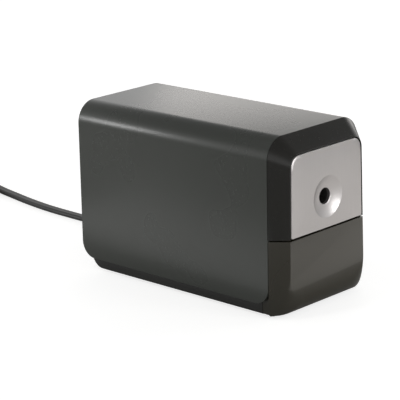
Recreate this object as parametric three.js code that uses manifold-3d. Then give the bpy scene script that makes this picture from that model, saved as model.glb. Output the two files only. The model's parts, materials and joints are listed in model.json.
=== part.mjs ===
// Electric pencil sharpener: a dark cover over a motor, a gear train and one orbiting helical cutter,
// with a see-through shavings receptacle that slides out of the front.
// Millimetres. +Z is up, the pencil goes in along +Y, and the feet stand on z = 0 under the middle.
import * as THREE from 'three';
import { mergeVertices } from 'three/addons/utils/BufferGeometryUtils.js';
import Module from 'manifold-3d';

const wasm = await Module();
wasm.setup();

// Overall body
const bodyWidth = 77;
const bodyLength = 155.8;
const bodyHeight = 100;
const gap = 0.3; // between pieces that touch

// Cover
const coverWall = 1.8;
const coverDraft = 0.011; // lean of each side, mm per mm of height
const coverCornerRadius = 12.5;
const coverLowerEdge = 7.8;
const coverEndRadius = 9.5; // lower corners of the side walls
const bossRadius = 3; // screw bosses
const bossHeight = 11;

// Front: bezel, face plate and drawer front share one bevelled outline
const seamHeight = 44.8;
const seamGap = 0.8;
const bevelDepth = 9.85;
const bevelInsetSide = 7.5;
const bevelInsetTop = 8.9;
const bezelWall = 3;
const bezelTongue = 4;
const bezelRim = 0.5; // flat rim between the bevel and the plate
const plateThickness = 2;
const plateCornerRadius = 7;
const plateCrown = 0.8;

// Pencil passage
const pencilAxisHeight = 62.5;
const pencilHoleRadius = 4.47;
const dishRadius = 12.1;
const dishDepth = 2.4;
const plateBossWall = 1.1; // metal left behind the dish
const guideWall = 2;
const guideFlange = 2.5;

// Shavings receptacle
const drawerWall = 1.8;
const drawerDepth = 57; // from the front to the back of its tray
const drawerTrayInset = 9; // each side of the tray in from the body's side
const drawerTrayDrop = 6.8; // the tray's rim below the seam
const drawerCornerRadius = 11; // lower corners at the front
const drawerRearRadius = 2; // and at the back of the bevel
const drawerNoseHeight = 10.5; // rounding of the lower front edge, upwards
const drawerNoseDepth = 7; // and backwards

// Base
const footHeight = 1.3;
const footRadius = 6;
const footStem = 2.2;
const footInset = { x: 13.5, y: 29 };
const baseClearance = 1.6; // underside above the table
const baseFloor = 3.3;
const baseInset = 2.1;
const baseWall = 2.2;
const baseWallTop = 12;
const baseEndRadius = 9.7;
const baseEdgeRadius = 1; // long lower edges
const baseFrontInset = 15.8; // behind the front
const rearRecess = 5.4; // rear face in from the cover's rear edge
const panelThickness = 2.5;

// Base screws
const screwHead = 3;
const screwShank = 1.5;
const screwLength = 14;
const screwInset = 7.5; // from the body's side
const screwRowSetback = [69.9, 17.9]; // in front of the rear

// Cutter, planetary drive
const gearModule = 1.2;
const pinionModule = 0.9;
const pinionTeeth = 12;
const ringTeeth = 38;
const cutterTilt = THREE.MathUtils.degToRad(11);
const cutterRadius = 6.5;
const cutterLength = 24;
const cutterTeeth = 12;
const cutterPinRadius = 1.5;
const carrierRadius = 15.5;
const carrierShaftRadius = 4;

// Gear train
const driveTeeth = 40;
const idlerPinionTeeth = 12;
const idlerTeeth = 40;
const motorPinionTeeth = 10;
const fineModule = 0.95;
const gearWidth = 6;
const idlerWidth = 4.3;
const idlerWallGap = 2.14; // idler's teeth to the cover's side wall
const motorRise = 35.52; // motor's axis above the base's floor
const meshPlay = 0.12; // added to each centre distance

// Frames
const frameThickness = 2.7;
const gearPlateThickness = 2.2;
const frameTopDrop = 10; // below the top of the body
const frameCorner = 6;
const frameSideGap = 0.5;
const frontFrameSetback = 17.6; // front face of the front frame, behind the front
const spacerRadius = 2.8;
const spacerInset = 4; // in from the frame's side
const idlerShaftRadius = 2;

// Motor
const rotorRadius = 12.9;
const airGap = 0.4;
const rotorShaftRadius = 2.4;
const stackLength = 22;
const stackHalfWidth = 23.5;
const stackBelow = 24;
const stackAbove = 42;
const legHeight = 12; // upper leg of the stack, which the coil is wound on
const windowHalfWidth = 15;
const shadeHole = { x: 15.2, size: 2.6, z: 8 };
const motorScrewRadius = 1.7;
const motorScrewReach = 19.5;
const bushRadius = 4.2;
const fanRadius = 21;

// Pencil-sensing lever and its switch
const leverAhead = 9.2; // pivot in front of the front frame
const leverAbove = 14.2; // and above the pencil's axis
const leverArm = 12.9;
const leverRest = THREE.MathUtils.degToRad(25);
const leverNose = { y: 3.5, z: 3.3 }; // from the pivot
const leverPinRadius = 1.2;
const leverHalfWidth = 1.6;
const leverEarGap = 3.2;
const buttonHalf = 1.2;
const buttonTravel = 1;
const switchRise = 7.2; // floor of the switch above the pivot

// Receptacle interlock
const plungerX = 17;
const plungerRise = 8; // above the base's floor
const plungerRadius = 1.8;
const interlockLength = 10;

// Power cord, flat with two cores
const cordWidth = 6.5;
const cordThickness = 3.2;
const reliefLength = 25;
const reliefNeck = 4.2;
const cordExit = { x: 24, z: 20 };
const coilRadius = 37; // middle of its turns
const coilCentre = { x: 0.6, y: 285 };
const coilHeight = 13.2;
const coilBundle = 13.6; // width of the bundle of turns
const coilLift = 1.2;
const cordRoute = [
  [24, 98.6, 20], [24.1, 104, 19.7], [24.4, 110, 18.2], [24.8, 117, 14.6], [25.4, 124, 10.2],
  [26, 131, 6.2], [26.7, 138, 3.4], [27.4, 145, 2.1], [28, 153, 1.8], [28.2, 162, 1.8],
  [28.5, 172, 1.8], [29.3, 184, 1.8], [30.8, 197, 1.8], [33, 211, 1.8], [35.7, 225, 1.8],
  [38.3, 239, 1.9], [40.2, 250, 2.4], [40.95, 259.5, 2.9],
];
const cordTail = [
  [-39.75, 259.5, 7.2], [-39.75, 254, 7.1], [-39.7, 248, 6.9], [-39.6, 243, 6.8],
];
const plugLength = 38;
const bladeSpacing = 12.7;
const bladeLength = 17;
const bladeWidth = 6.35;
const bladeThickness = 1.5;

// Derived places
const frontY = -bodyLength / 2 + plateCrown;
const frontFrameY = frontY + frontFrameSetback;
const frameTop = bodyHeight - frameTopDrop;
const rearY = bodyLength / 2;
const coverFrontY = frontY + bevelDepth;
const rearFaceY = rearY - rearRecess;
const baseTop = baseClearance + baseFloor;
const pinionOffset = pinionModule * (ringTeeth - pinionTeeth) / 2;
const pinionY = frontFrameY + frameThickness + 4.1;
const ringY = [frontFrameY + frameThickness + gap, pinionY + 2.7];
const cutterFront = 3.1; // along the cutter's axis from the pinion's middle
const carrierRearY = pinionY + (cutterFront + cutterLength) * Math.cos(cutterTilt) + 2.6;
const carrierRearWidth = 3.5;
const gearPlateY = carrierRearY + carrierRearWidth + 2;
const driveY = gearPlateY + gearPlateThickness + 1.3;
const idlerY = driveY + gearWidth + 0.7;
const motorPlateY = idlerY + idlerWidth + 1.5;
const bracketY = motorPlateY + gearPlateThickness + gap;
const stackY = bracketY + 13;
const driveDistance = gearModule * (driveTeeth + idlerPinionTeeth) / 2 + meshPlay;
const idlerTip = fineModule * (idlerTeeth / 2 + 0.9);
const idlerX = coverWall + idlerWallGap + idlerTip - bodyWidth / 2;
const idlerDirection = -Math.acos(idlerX / driveDistance);
const idlerAxis = new THREE.Vector2(0, pencilAxisHeight).add(polar(driveDistance, idlerDirection));
const motorDistance = fineModule * (idlerTeeth + motorPinionTeeth) / 2 + meshPlay;
const motorDirection = Math.asin((baseTop + motorRise - idlerAxis.y) / motorDistance);
const motorAxis = idlerAxis.clone().add(polar(motorDistance, motorDirection));
const stackRearY = stackY + stackLength;
const fanY = stackRearY + 13;
const frameHalfWidth = bodyWidth / 2 - baseInset - baseWall - frameSideGap;
const drawerTrayHalfWidth = bodyWidth / 2 - drawerTrayInset;
const drawerTrayHeight = seamHeight - drawerTrayDrop;
const leverPivot = { y: frontFrameY - leverAhead, z: pencilAxisHeight + leverAbove };
const switchFloor = leverPivot.z + switchRise;
const plungerPlace = new THREE.Vector2(plungerX, baseTop + plungerRise);
const motorScrewPlaces = [-1, 1].map((side) => motorAxis.clone().add(polar(side * motorScrewReach, 0)));
const screwPlaces = screwRowSetback.flatMap((setback) => [-1, 1].map((side) => (
  { x: side * (bodyWidth / 2 - screwInset), y: rearY - setback })));
const footPlaces = [-1, 1].flatMap((end) => [-1, 1].map((side) => (
  { x: side * (bodyWidth / 2 - footInset.x), y: end * (bodyLength / 2 - footInset.y) })));
const spacerPlaces = [baseTop + spacerInset + 0.5, frameTop - 7].flatMap((z) => [-1, 1].map((side) => (
  new THREE.Vector2(side * (frameHalfWidth - spacerInset), z))));

// Materials
function finish(color, roughness, metalness = 0) {
  return new THREE.MeshStandardMaterial({ color, roughness, metalness });
}
const coverPlastic = finish(0x3a3b38, 0.42);
const trimPlastic = finish(0x2a2a27, 0.3);
const silverPaint = finish(0xb2b0b0, 0.38, 0.6);
const smokePlastic = new THREE.MeshStandardMaterial({
  color: 0x57534c, roughness: 0.12, transparent: true, opacity: 0.75,
});
const basePlastic = finish(0x1f1f1e, 0.5);
const framePlastic = finish(0xd8d4c8, 0.5);
const steel = finish(0xa8aaac, 0.3, 1);
const darkSteel = finish(0x55585c, 0.4, 1);
const brass = finish(0xc09a4a, 0.3, 1);
const copper = finish(0xb06a3a, 0.35, 1);
const rubber = finish(0x1a1a1a, 0.85);
const cordVinyl = finish(0x3b3b3b, 0.55);
const nylon = finish(0xe8e4d6, 0.5);

const object = new THREE.Group();

function add(name, geometry, material) {
  const mesh = new THREE.Mesh(geometry, material);
  mesh.name = name;
  object.add(mesh);
  return mesh;
}

// A distance and an angle from +X towards +Z, as a place in the X-Z plane.
function polar(distance, angle) {
  return new THREE.Vector2(Math.cos(angle), Math.sin(angle)).multiplyScalar(distance);
}

// Booleans
function solid(geometry) {
  const bare = geometry.clone();
  bare.deleteAttribute('normal');
  bare.deleteAttribute('uv');
  const merged = mergeVertices(bare, 1e-4);
  return new wasm.Manifold(new wasm.Mesh({
    numProp: 3,
    vertProperties: merged.attributes.position.array,
    triVerts: new Uint32Array(merged.index.array),
  }));
}

function geometryOf(manifold) {
  const mesh = manifold.getMesh();
  const geometry = new THREE.BufferGeometry();
  geometry.setAttribute('position', new THREE.BufferAttribute(mesh.vertProperties, 3));
  geometry.setIndex(new THREE.BufferAttribute(mesh.triVerts, 1));
  return geometry;
}

// One geometry from the first, with the others joined to it and then the cuts taken away.
function build(joined, cuts = []) {
  let result = solid(joined[0]);
  for (const geometry of joined.slice(1)) result = result.add(solid(geometry));
  for (const geometry of cuts) result = result.subtract(solid(geometry));
  return geometryOf(result);
}

// Basic solids
function box(x0, x1, y0, y1, z0, z1) {
  const geometry = new THREE.BoxGeometry(x1 - x0, y1 - y0, z1 - z0);
  return geometry.translate((x0 + x1) / 2, (y0 + y1) / 2, (z0 + z1) / 2);
}

// A cylinder or cone along +Y between y0 and y1, at a place in the X-Z plane.
function rod(place, radius, y0, y1, segments = 24, endRadius = radius) {
  const geometry = new THREE.CylinderGeometry(endRadius, radius, y1 - y0, segments);
  return geometry.translate(place.x, (y0 + y1) / 2, place.y);
}

function post(x, y, radius, z0, z1, segments = 12) {
  const geometry = new THREE.CylinderGeometry(radius, radius, z1 - z0, segments);
  return geometry.rotateX(Math.PI / 2).translate(x, y, (z0 + z1) / 2);
}

// A shape drawn in X and Z, extruded along Y.
function alongY(shape, y0, y1, curveSegments = 6) {
  const options = { depth: y1 - y0, bevelEnabled: false, curveSegments };
  return new THREE.ExtrudeGeometry(shape, options).rotateX(Math.PI / 2).translate(0, y1, 0);
}

// A shape drawn in Y and Z, extruded along X.
function alongX(shape, x0, x1, curveSegments = 6) {
  const options = { depth: x1 - x0, bevelEnabled: false, curveSegments };
  const turn = new THREE.Matrix4().makeBasis(
    new THREE.Vector3(0, 1, 0), new THREE.Vector3(0, 0, 1), new THREE.Vector3(1, 0, 0));
  return new THREE.ExtrudeGeometry(shape, options).applyMatrix4(turn).translate(x0, 0, 0);
}

// A skin through outlines of one kind, each a shape in X and Z at its own y, from front to back.
function loft(sections, curveSegments = 6) {
  const rings = sections.map(({ shape }) => shape.getPoints(curveSegments));
  const count = rings[0].length;
  const positions = [];
  const index = [];
  rings.forEach((ring, i) => {
    for (const point of ring) positions.push(point.x, sections[i].y, point.y);
  });
  for (let i = 0; i < rings.length - 1; i++) {
    for (let j = 0; j < count; j++) {
      const a = i * count + j;
      const b = i * count + (j + 1) % count;
      index.push(a, b, a + count, b, b + count, a + count);
    }
  }
  const last = (rings.length - 1) * count;
  for (const [a, b, c] of THREE.ShapeUtils.triangulateShape(rings[0], [])) index.push(a, c, b);
  for (const [a, b, c] of THREE.ShapeUtils.triangulateShape(rings.at(-1), [])) {
    index.push(last + a, last + b, last + c);
  }
  const geometry = new THREE.BufferGeometry();
  geometry.setAttribute('position', new THREE.Float32BufferAttribute(positions, 3));
  geometry.setIndex(index);
  return solid(geometry).volume() < 0 ? inverted(geometry) : geometry;
}

function inverted(geometry) {
  const index = geometry.index.array;
  for (let i = 0; i < index.length; i += 3) {
    [index[i + 1], index[i + 2]] = [index[i + 2], index[i + 1]];
  }
  return geometry;
}

function tubeAlong(points, shape, spacing) {
  const curve = new THREE.CatmullRomCurve3(points.map((point) => new THREE.Vector3(...point)));
  const steps = Math.ceil(curve.getLength() / spacing);
  const options = { steps, extrudePath: curve, curveSegments: 2, bevelEnabled: false };
  return new THREE.ExtrudeGeometry(shape, options);
}

// Outlines
function halfWidthAt(z) {
  return bodyWidth / 2 - coverDraft * (z - coverLowerEdge);
}

// An arch: straight sides and rounded upper corners, in from the body's outline by an inset.
function arch(bottom, insetSide, insetTop, radius) {
  const low = halfWidthAt(bottom) - insetSide;
  const high = halfWidthAt(bodyHeight) - insetSide;
  const top = bodyHeight - insetTop;
  const shape = new THREE.Shape();
  shape.moveTo(low, bottom);
  shape.lineTo(high, top - radius);
  shape.absarc(high - radius, top - radius, radius, 0, Math.PI / 2, false);
  shape.absarc(-high + radius, top - radius, radius, Math.PI / 2, Math.PI, false);
  shape.lineTo(-low, bottom);
  return shape;
}

function coverArch(bottom, inset = 0) {
  return arch(bottom, inset, inset, coverCornerRadius - inset);
}

// A rectangle with all its corners rounded.
function roundedRectangle(x0, x1, y0, y1, radius) {
  const shape = new THREE.Shape();
  shape.absarc(x1 - radius, y0 + radius, radius, -Math.PI / 2, 0, false);
  shape.absarc(x1 - radius, y1 - radius, radius, 0, Math.PI / 2, false);
  shape.absarc(x0 + radius, y1 - radius, radius, Math.PI / 2, Math.PI, false);
  shape.absarc(x0 + radius, y0 + radius, radius, Math.PI, 1.5 * Math.PI, false);
  return shape;
}

// Involute gear outline about a centre, with a tooth at the phase angle. A negative backlash widens
// the teeth, which makes the hole of a ring gear.
function gearShape({ module, teeth, addendum, dedendum, backlash, phase, centre }) {
  const pressure = THREE.MathUtils.degToRad(20);
  const pitch = module * teeth / 2;
  const base = pitch * Math.cos(pressure);
  const involute = (angle) => Math.tan(angle) - angle;
  const halfTooth = (radius) => {
    const angle = Math.acos(Math.min(1, base / radius));
    return (Math.PI / 2 - backlash / module) / teeth + involute(pressure) - involute(angle);
  };
  const root = pitch - dedendum;
  const tip = pitch + addendum;
  const flank = [pitch, tip];
  const points = [];
  for (let tooth = 0; tooth < teeth; tooth++) {
    const middle = phase + tooth * 2 * Math.PI / teeth;
    const place = (radius, angle) => points.push(polar(radius, middle + angle).add(centre));
    place(root, -halfTooth(Math.max(root, base)));
    for (const radius of flank) place(radius, -halfTooth(radius));
    for (const radius of flank.toReversed()) place(radius, halfTooth(radius));
    place(root, halfTooth(Math.max(root, base)));
  }
  return new THREE.Shape(points);
}

function circlePoints(centre, radius, count = 16) {
  const points = [];
  for (let i = 0; i < count; i++) points.push(polar(radius, i * 2 * Math.PI / count).add(centre));
  return points;
}

function circleHole(shape, centre, radius, count = 16) {
  shape.holes.push(new THREE.Path(circlePoints(centre, radius, count).reverse()));
  return shape;
}

const pencilAxis = new THREE.Vector2(0, pencilAxisHeight);

// Shells

function makeCover() {
  const side = roundedRectangle(coverFrontY, rearY, coverLowerEdge, bodyHeight + 40, coverEndRadius);
  const outer = solid(alongY(coverArch(coverLowerEdge), coverFrontY, rearY));
  const inner = solid(alongY(coverArch(coverLowerEdge - 1, coverWall), coverFrontY - 1, rearY + 1));
  const silhouette = solid(alongX(side, -bodyWidth, bodyWidth));
  let cover = outer.subtract(inner).intersect(silhouette);
  for (const { x, y } of screwPlaces) {
    const wallX = Math.sign(x) * (bodyWidth / 2 - coverWall / 2);
    const bossFoot = baseTop + 4;
    const bossTop = baseWallTop + bossHeight;
    const rib = box(
      Math.min(x, wallX), Math.max(x, wallX), y - 1.2, y + 1.2, baseWallTop + gap, bossTop);
    cover = cover.add(solid(post(x, y, bossRadius, bossFoot, bossTop))).add(solid(rib));
    cover = cover.subtract(solid(post(x, y, screwShank + gap, bossFoot - 1, bossTop - 2)));
  }
  return add('top_cover', geometryOf(cover), coverPlastic);
}

function makeBezel() {
  const bottom = seamHeight;
  const rear = coverFrontY - gap;
  const plate = plateOutline(bottom - 1, -gap);
  const ledge = plateOutline(bottom - 1, 2);
  const cavityFront = frontY + plateThickness + 2.6;
  const share = 1 - (cavityFront - frontY) / bevelDepth;
  const outer = loft([
    { shape: arch(bottom, bevelInsetSide, bevelInsetTop, plateCornerRadius), y: frontY },
    { shape: coverArch(bottom), y: rear },
  ]);
  const cavity = loft([
    {
      shape: arch(bottom - 1, bevelInsetSide * share + bezelWall, bevelInsetTop * share + bezelWall, 8),
      y: cavityFront,
    },
    { shape: coverArch(bottom - 1, bezelWall), y: rear + 0.1 },
  ]);
  const tongueInset = coverWall + gap;
  const tongue = alongY(coverArch(bottom, tongueInset), rear - 1.5, rear + bezelTongue);
  const tongueHole = alongY(coverArch(bottom - 1, tongueInset + 1.5), rear - 2, rear + bezelTongue + 1);
  const plateRecess = alongY(plate, frontY - 1, frontY + plateThickness + gap);
  const opening = alongY(ledge, frontY, cavityFront + 1);
  const cuts = [cavity, tongueHole, plateRecess, opening];
  return add('front_bezel', build([outer, tongue], cuts), trimPlastic);
}

// The face plate's outline, drawn in by an inset.
function plateOutline(bottom, inset, scale = 1) {
  const shape = arch(
    bottom, bevelInsetSide + bezelRim + inset, bevelInsetTop + bezelRim + inset,
    plateCornerRadius - bezelRim - inset);
  if (scale === 1) return shape;
  const middle = (bottom + bodyHeight - bevelInsetTop) / 2;
  const centre = new THREE.Vector2(0, middle);
  const scaled = (point) => point.sub(centre).multiplyScalar(scale).add(centre);
  return new THREE.Shape(shape.getPoints(6).map(scaled));
}

function makeFacePlate() {
  const bottom = seamHeight + gap;
  const domeSteps = [0.25, 0.5, 0.75, 1];
  const sections = domeSteps.map((scale) => ({
    shape: plateOutline(bottom, gap, scale === 1 ? 0.9999 : scale),
    y: frontY - plateCrown * (1 - scale * scale) / (1 - domeSteps[0] * domeSteps[0]),
  }));
  sections.push({ shape: plateOutline(bottom, gap, 0.9999), y: frontY + plateThickness });
  const dome = loft(sections);
  const bossEnd = frontY + dishDepth + plateBossWall;
  const boss = rod(pencilAxis, dishRadius + 0.9, frontY + 1, bossEnd, 40);
  const dishSlope = (dishRadius - pencilHoleRadius) / dishDepth;
  const reach = plateCrown + 0.5;
  const dish = rod(
    pencilAxis, dishRadius + dishSlope * (reach - plateCrown), frontY - reach,
    frontY - plateCrown + dishDepth, 40, pencilHoleRadius);
  const hole = rod(pencilAxis, pencilHoleRadius, frontY - 1, bossEnd + 1, 32);
  return add('face_plate', build([dome, boss], [dish, hole]), silverPaint);
}

function makeBase() {
  const front = frontY + baseFrontInset;
  const half = bodyWidth / 2 - baseInset;
  const outline = new THREE.Shape();
  outline.moveTo(front, baseWallTop);
  outline.lineTo(front, baseClearance);
  outline.absarc(
    rearFaceY - baseEndRadius, baseClearance + baseEndRadius, baseEndRadius, -Math.PI / 2, 0, false);
  outline.lineTo(rearFaceY, baseWallTop);
  const section = roundedRectangle(-half, half, baseClearance, baseWallTop + 9, baseEdgeRadius);
  const body = geometryOf(
    solid(alongX(outline, -half, half, 6)).intersect(solid(alongY(section, front, rearY, 3))));
  const inside = box(
    -half + baseWall, half - baseWall, front - 1, rearFaceY - panelThickness, baseTop, baseWallTop + 1);
  const joined = [build([body], [inside])];
  const cuts = [];
  for (const { x, y } of screwPlaces) {
    joined.push(post(x, y, bossRadius + 1.2, baseTop - 1, baseTop + 3.6));
    cuts.push(post(x, y, screwHead + 0.4, baseClearance - 1, baseTop + 0.8));
    cuts.push(post(x, y, screwShank + gap, baseTop, baseTop + 5));
  }
  for (const { x, y } of footPlaces) cuts.push(post(x, y, footStem + gap, 0, baseTop + 1));
  for (const [y, thickness] of [[gearPlateY, gearPlateThickness], [motorPlateY, gearPlateThickness]]) {
    for (const x of [-18, 18]) {
      for (const [y0, y1] of [[y - gap - 1.1, y - gap], [y + thickness + gap, y + thickness + gap + 1.1]]) {
        joined.push(box(x - 4, x + 4, y0, y1, baseTop - 1, baseTop + 5));
      }
    }
  }
  return add('base_housing', build(joined, cuts), basePlastic);
}

function makeRearPanel() {
  const y0 = rearFaceY - panelThickness;
  const shape = coverArch(baseWallTop + gap, coverWall + gap);
  circleHole(shape, new THREE.Vector2(cordExit.x, cordExit.z), reliefNeck + gap);
  const slots = [];
  const pitch = 5;
  const slotCount = 9;
  for (let i = 0; i < slotCount; i++) {
    const x = (i - (slotCount - 1) / 2) * pitch;
    slots.push(alongY(roundedRectangle(x - 1.2, x + 1.2, 44, 78, 1.15), y0 - 1, rearFaceY + 1, 1));
  }
  return add('rear_panel', build([alongY(shape, y0, rearFaceY)], slots), trimPlastic);
}

// Drawer front outline at a depth behind the front, drawn in by an inset. The lower front edge is
// an elliptical nose, and the sides follow the bevel.
function drawerOutline(depth, inset) {
  const share = 1 - depth / bevelDepth;
  const nose = Math.max(0, 1 - depth / drawerNoseDepth);
  const bottom = baseClearance + drawerNoseHeight * (1 - Math.sqrt(1 - nose * nose)) + inset;
  const side = bevelInsetSide * share + inset;
  const top = seamHeight - seamGap - inset;
  const low = halfWidthAt(bottom) - side;
  const high = halfWidthAt(top) - side;
  const radius = share * drawerCornerRadius + (1 - share) * drawerRearRadius - inset;
  const shape = new THREE.Shape();
  shape.moveTo(high, top);
  shape.lineTo(-high, top);
  shape.absarc(-low + radius, bottom + radius, radius, Math.PI, 1.5 * Math.PI, false);
  shape.absarc(low - radius, bottom + radius, radius, 1.5 * Math.PI, 2 * Math.PI, false);
  return shape;
}

function makeReceptacle() {
  const blockDepth = bevelDepth - gap;
  const stations = [0, 0.04, 0.12, 0.25, 0.45, 0.71, 1];
  const outer = loft(stations.map((share) => {
    const depth = share * blockDepth;
    return { shape: drawerOutline(depth, 0), y: frontY + depth };
  }));
  const cavity = loft([0.2, 0.32, 0.5, 0.71, 1].map((share) => {
    const depth = share * (blockDepth - drawerWall);
    return { shape: drawerOutline(depth, drawerWall), y: frontY + Math.max(depth, drawerWall) };
  }));
  const half = drawerTrayHalfWidth;
  const trayFloor = baseTop + 0.5;
  const trayFront = frontY + blockDepth - drawerWall;
  const trayBack = frontY + drawerDepth;
  const tray = box(-half, half, trayFront, trayBack, trayFloor, drawerTrayHeight);
  const hollow = box(
    -half + drawerWall, half - drawerWall, trayFront - drawerWall, trayBack - drawerWall,
    trayFloor + drawerWall, bodyHeight);
  const overTray = box(
    -half, half, trayFront - drawerWall, trayBack, seamHeight - seamGap - drawerWall, bodyHeight);
  const block = build([outer], [cavity]);
  const hollowCut = geometryOf(solid(hollow).subtract(solid(overTray)));
  const skirtEnd = frontY + baseFrontInset - gap;
  const skirtHalf = bodyWidth / 2 - baseInset;
  const skirtShape = roundedRectangle(
    -skirtHalf, skirtHalf, baseClearance + 0.1, coverLowerEdge + 12, baseEdgeRadius);
  const skirt = build(
    [alongY(skirtShape, trayFront + 0.6, skirtEnd, 3)],
    [box(-skirtHalf + drawerWall, skirtHalf - drawerWall, frontY + blockDepth, skirtEnd + 1,
      trayFloor, bodyHeight)]);
  return add('shavings_receptacle', build([block, tray, skirt], [hollowCut]), smokePlastic);
}

// Fasteners and feet

function screwProfile(length) {
  return [[0, 0], [screwHead * 0.8, 0], [screwHead, 0.6], [screwHead, 1.9], [screwShank, 1.9],
    [screwShank, length], [0, length + 1]];
}

function turned(profile, segments) {
  return new THREE.LatheGeometry(profile.map(([r, h]) => new THREE.Vector2(r, h)), segments);
}

function makeBaseScrews() {
  screwPlaces.forEach(({ x, y }, i) => {
    const headZ = baseClearance + 0.5;
    const head = turned(screwProfile(screwLength), 12).rotateX(Math.PI / 2).translate(x, y, headZ);
    const slot = box(x - screwHead - 1, x + screwHead + 1, y - 0.5, y + 0.5, 0, headZ + 0.9);
    add(`base_screw_${i + 1}`, build([head], [slot]), darkSteel);
  });
}

function makeFeet() {
  footPlaces.forEach(({ x, y }, i) => {
    const profile = [[0, 0], [footRadius - 0.6, 0], [footRadius, 0.6], [footRadius, footHeight],
      [footStem, footHeight], [footStem, baseTop - gap], [0, baseTop - gap]];
    add(`rubber_foot_${i + 1}`, turned(profile, 14).rotateX(Math.PI / 2).translate(x, y, 0), rubber);
  });
}

// Front frame, pencil guide and ring gear

function frameOutline() {
  const half = frameHalfWidth;
  const top = frameTop;
  const shape = new THREE.Shape();
  shape.moveTo(-half, baseTop + gap);
  shape.lineTo(half, baseTop + gap);
  shape.lineTo(half, top - frameCorner);
  shape.lineTo(half - frameCorner, top);
  shape.lineTo(-half + frameCorner, top);
  shape.lineTo(-half, top - frameCorner);
  return shape;
}

function makeFrontFrame() {
  const y1 = frontFrameY + frameThickness;
  const plate = alongY(frameOutline(), frontFrameY, y1);
  const bay = drawerTrayHalfWidth + 0.6;
  const ears = [-1, 1].map((side) => {
    const x = side * (leverHalfWidth + gap + leverEarGap);
    return box(x - 1, x + 1, leverPivot.y - 3, frontFrameY + 0.5, leverPivot.z - 3, leverPivot.z + 4.5);
  });
  const cuts = [
    box(-bay, bay, frontFrameY - 1, y1 + 1, 0, drawerTrayHeight + 1.5),
    rod(pencilAxis, carrierRadius + gap, frontFrameY - 1, y1 + 1, 40),
    leverPin(leverPinRadius + gap, 9),
  ];
  return add('front_frame', build([plate, ...ears], cuts), framePlastic);
}

function leverPin(radius, halfLength) {
  const geometry = new THREE.CylinderGeometry(radius, radius, 2 * halfLength, 12);
  return geometry.rotateZ(Math.PI / 2).translate(0, leverPivot.y, leverPivot.z);
}

function makeGuide() {
  const y0 = frontY + dishDepth + plateBossWall + gap;
  const y1 = frontFrameY - 1;
  const outer = pencilHoleRadius + guideWall;
  const bore = pencilHoleRadius + 0.1;
  const slot = box(
    -leverHalfWidth - 0.6, leverHalfWidth + 0.6, y0 + 4, y1 + 1,
    pencilAxisHeight + 1, pencilAxisHeight + outer + 1);
  const geometry = build(
    [rod(pencilAxis, outer + guideFlange, y0, y0 + 1.8, 32), rod(pencilAxis, outer, y0, y1, 32)],
    [rod(pencilAxis, bore, y0 - 1, y1 + 1, 32), slot]);
  return add('pencil_guide', geometry, basePlastic);
}

function makeRingGear() {
  const [y0, y1] = ringY;
  const outer = pinionModule * ringTeeth / 2 + 4;
  const shape = new THREE.Shape(circlePoints(pencilAxis, outer, 32));
  const teeth = gearShape({
    module: pinionModule, teeth: ringTeeth, addendum: 1.35, dedendum: 0.55, backlash: -0.3,
    phase: Math.PI / 2, centre: pencilAxis,
  });
  shape.holes.push(new THREE.Path(teeth.getPoints().reverse()));
  return add('ring_gear', alongY(shape, y0, y1, 24), framePlastic);
}

// Cutter and carrier. The cutter's own axis leans in towards the pencil's point.

const cutterTurn = new THREE.Matrix4()
  .makeTranslation(0, pinionY, pencilAxisHeight + pinionOffset)
  .multiply(new THREE.Matrix4().makeRotationX(-cutterTilt));

// Geometry along +Y about the origin, laid on the cutter's axis with y = 0 at the pinion's middle.
function onCutterAxis(geometry) {
  return geometry.applyMatrix4(cutterTurn);
}

const origin = new THREE.Vector2(0, 0);

function makeCutter() {
  const slices = 9;
  const twist = THREE.MathUtils.degToRad(70);
  const sections = [];
  for (let i = 0; i < slices; i++) {
    const share = i / (slices - 1);
    const points = [];
    for (let tooth = 0; tooth < cutterTeeth; tooth++) {
      const angle = share * twist + tooth * 2 * Math.PI / cutterTeeth;
      points.push(polar(cutterRadius, angle));
      points.push(polar(cutterRadius - 1.1, angle + 0.16));
      points.push(polar(cutterRadius - 0.5, angle + 0.38));
    }
    sections.push({ shape: new THREE.Shape(points), y: cutterFront + share * cutterLength });
  }
  const bore = rod(origin, cutterPinRadius + gap, cutterFront - 1, cutterFront + cutterLength + 1, 16);
  add('helical_cutter', onCutterAxis(build([loft(sections)], [bore])), steel);
}

function makeCutterPinion() {
  const shape = gearShape({
    module: pinionModule, teeth: pinionTeeth, addendum: 0.7, dedendum: 1.35, backlash: 0.3,
    phase: Math.PI / 2, centre: origin,
  });
  circleHole(shape, origin, cutterPinRadius + gap);
  add('cutter_pinion', onCutterAxis(alongY(shape, -2, 2, 6)), brass);
}

const pinEnds = [-7.2, cutterFront + cutterLength + 4.6];

function makeCutterPin() {
  add('cutter_pin', onCutterAxis(rod(origin, cutterPinRadius, ...pinEnds, 16)), steel);
}

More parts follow.
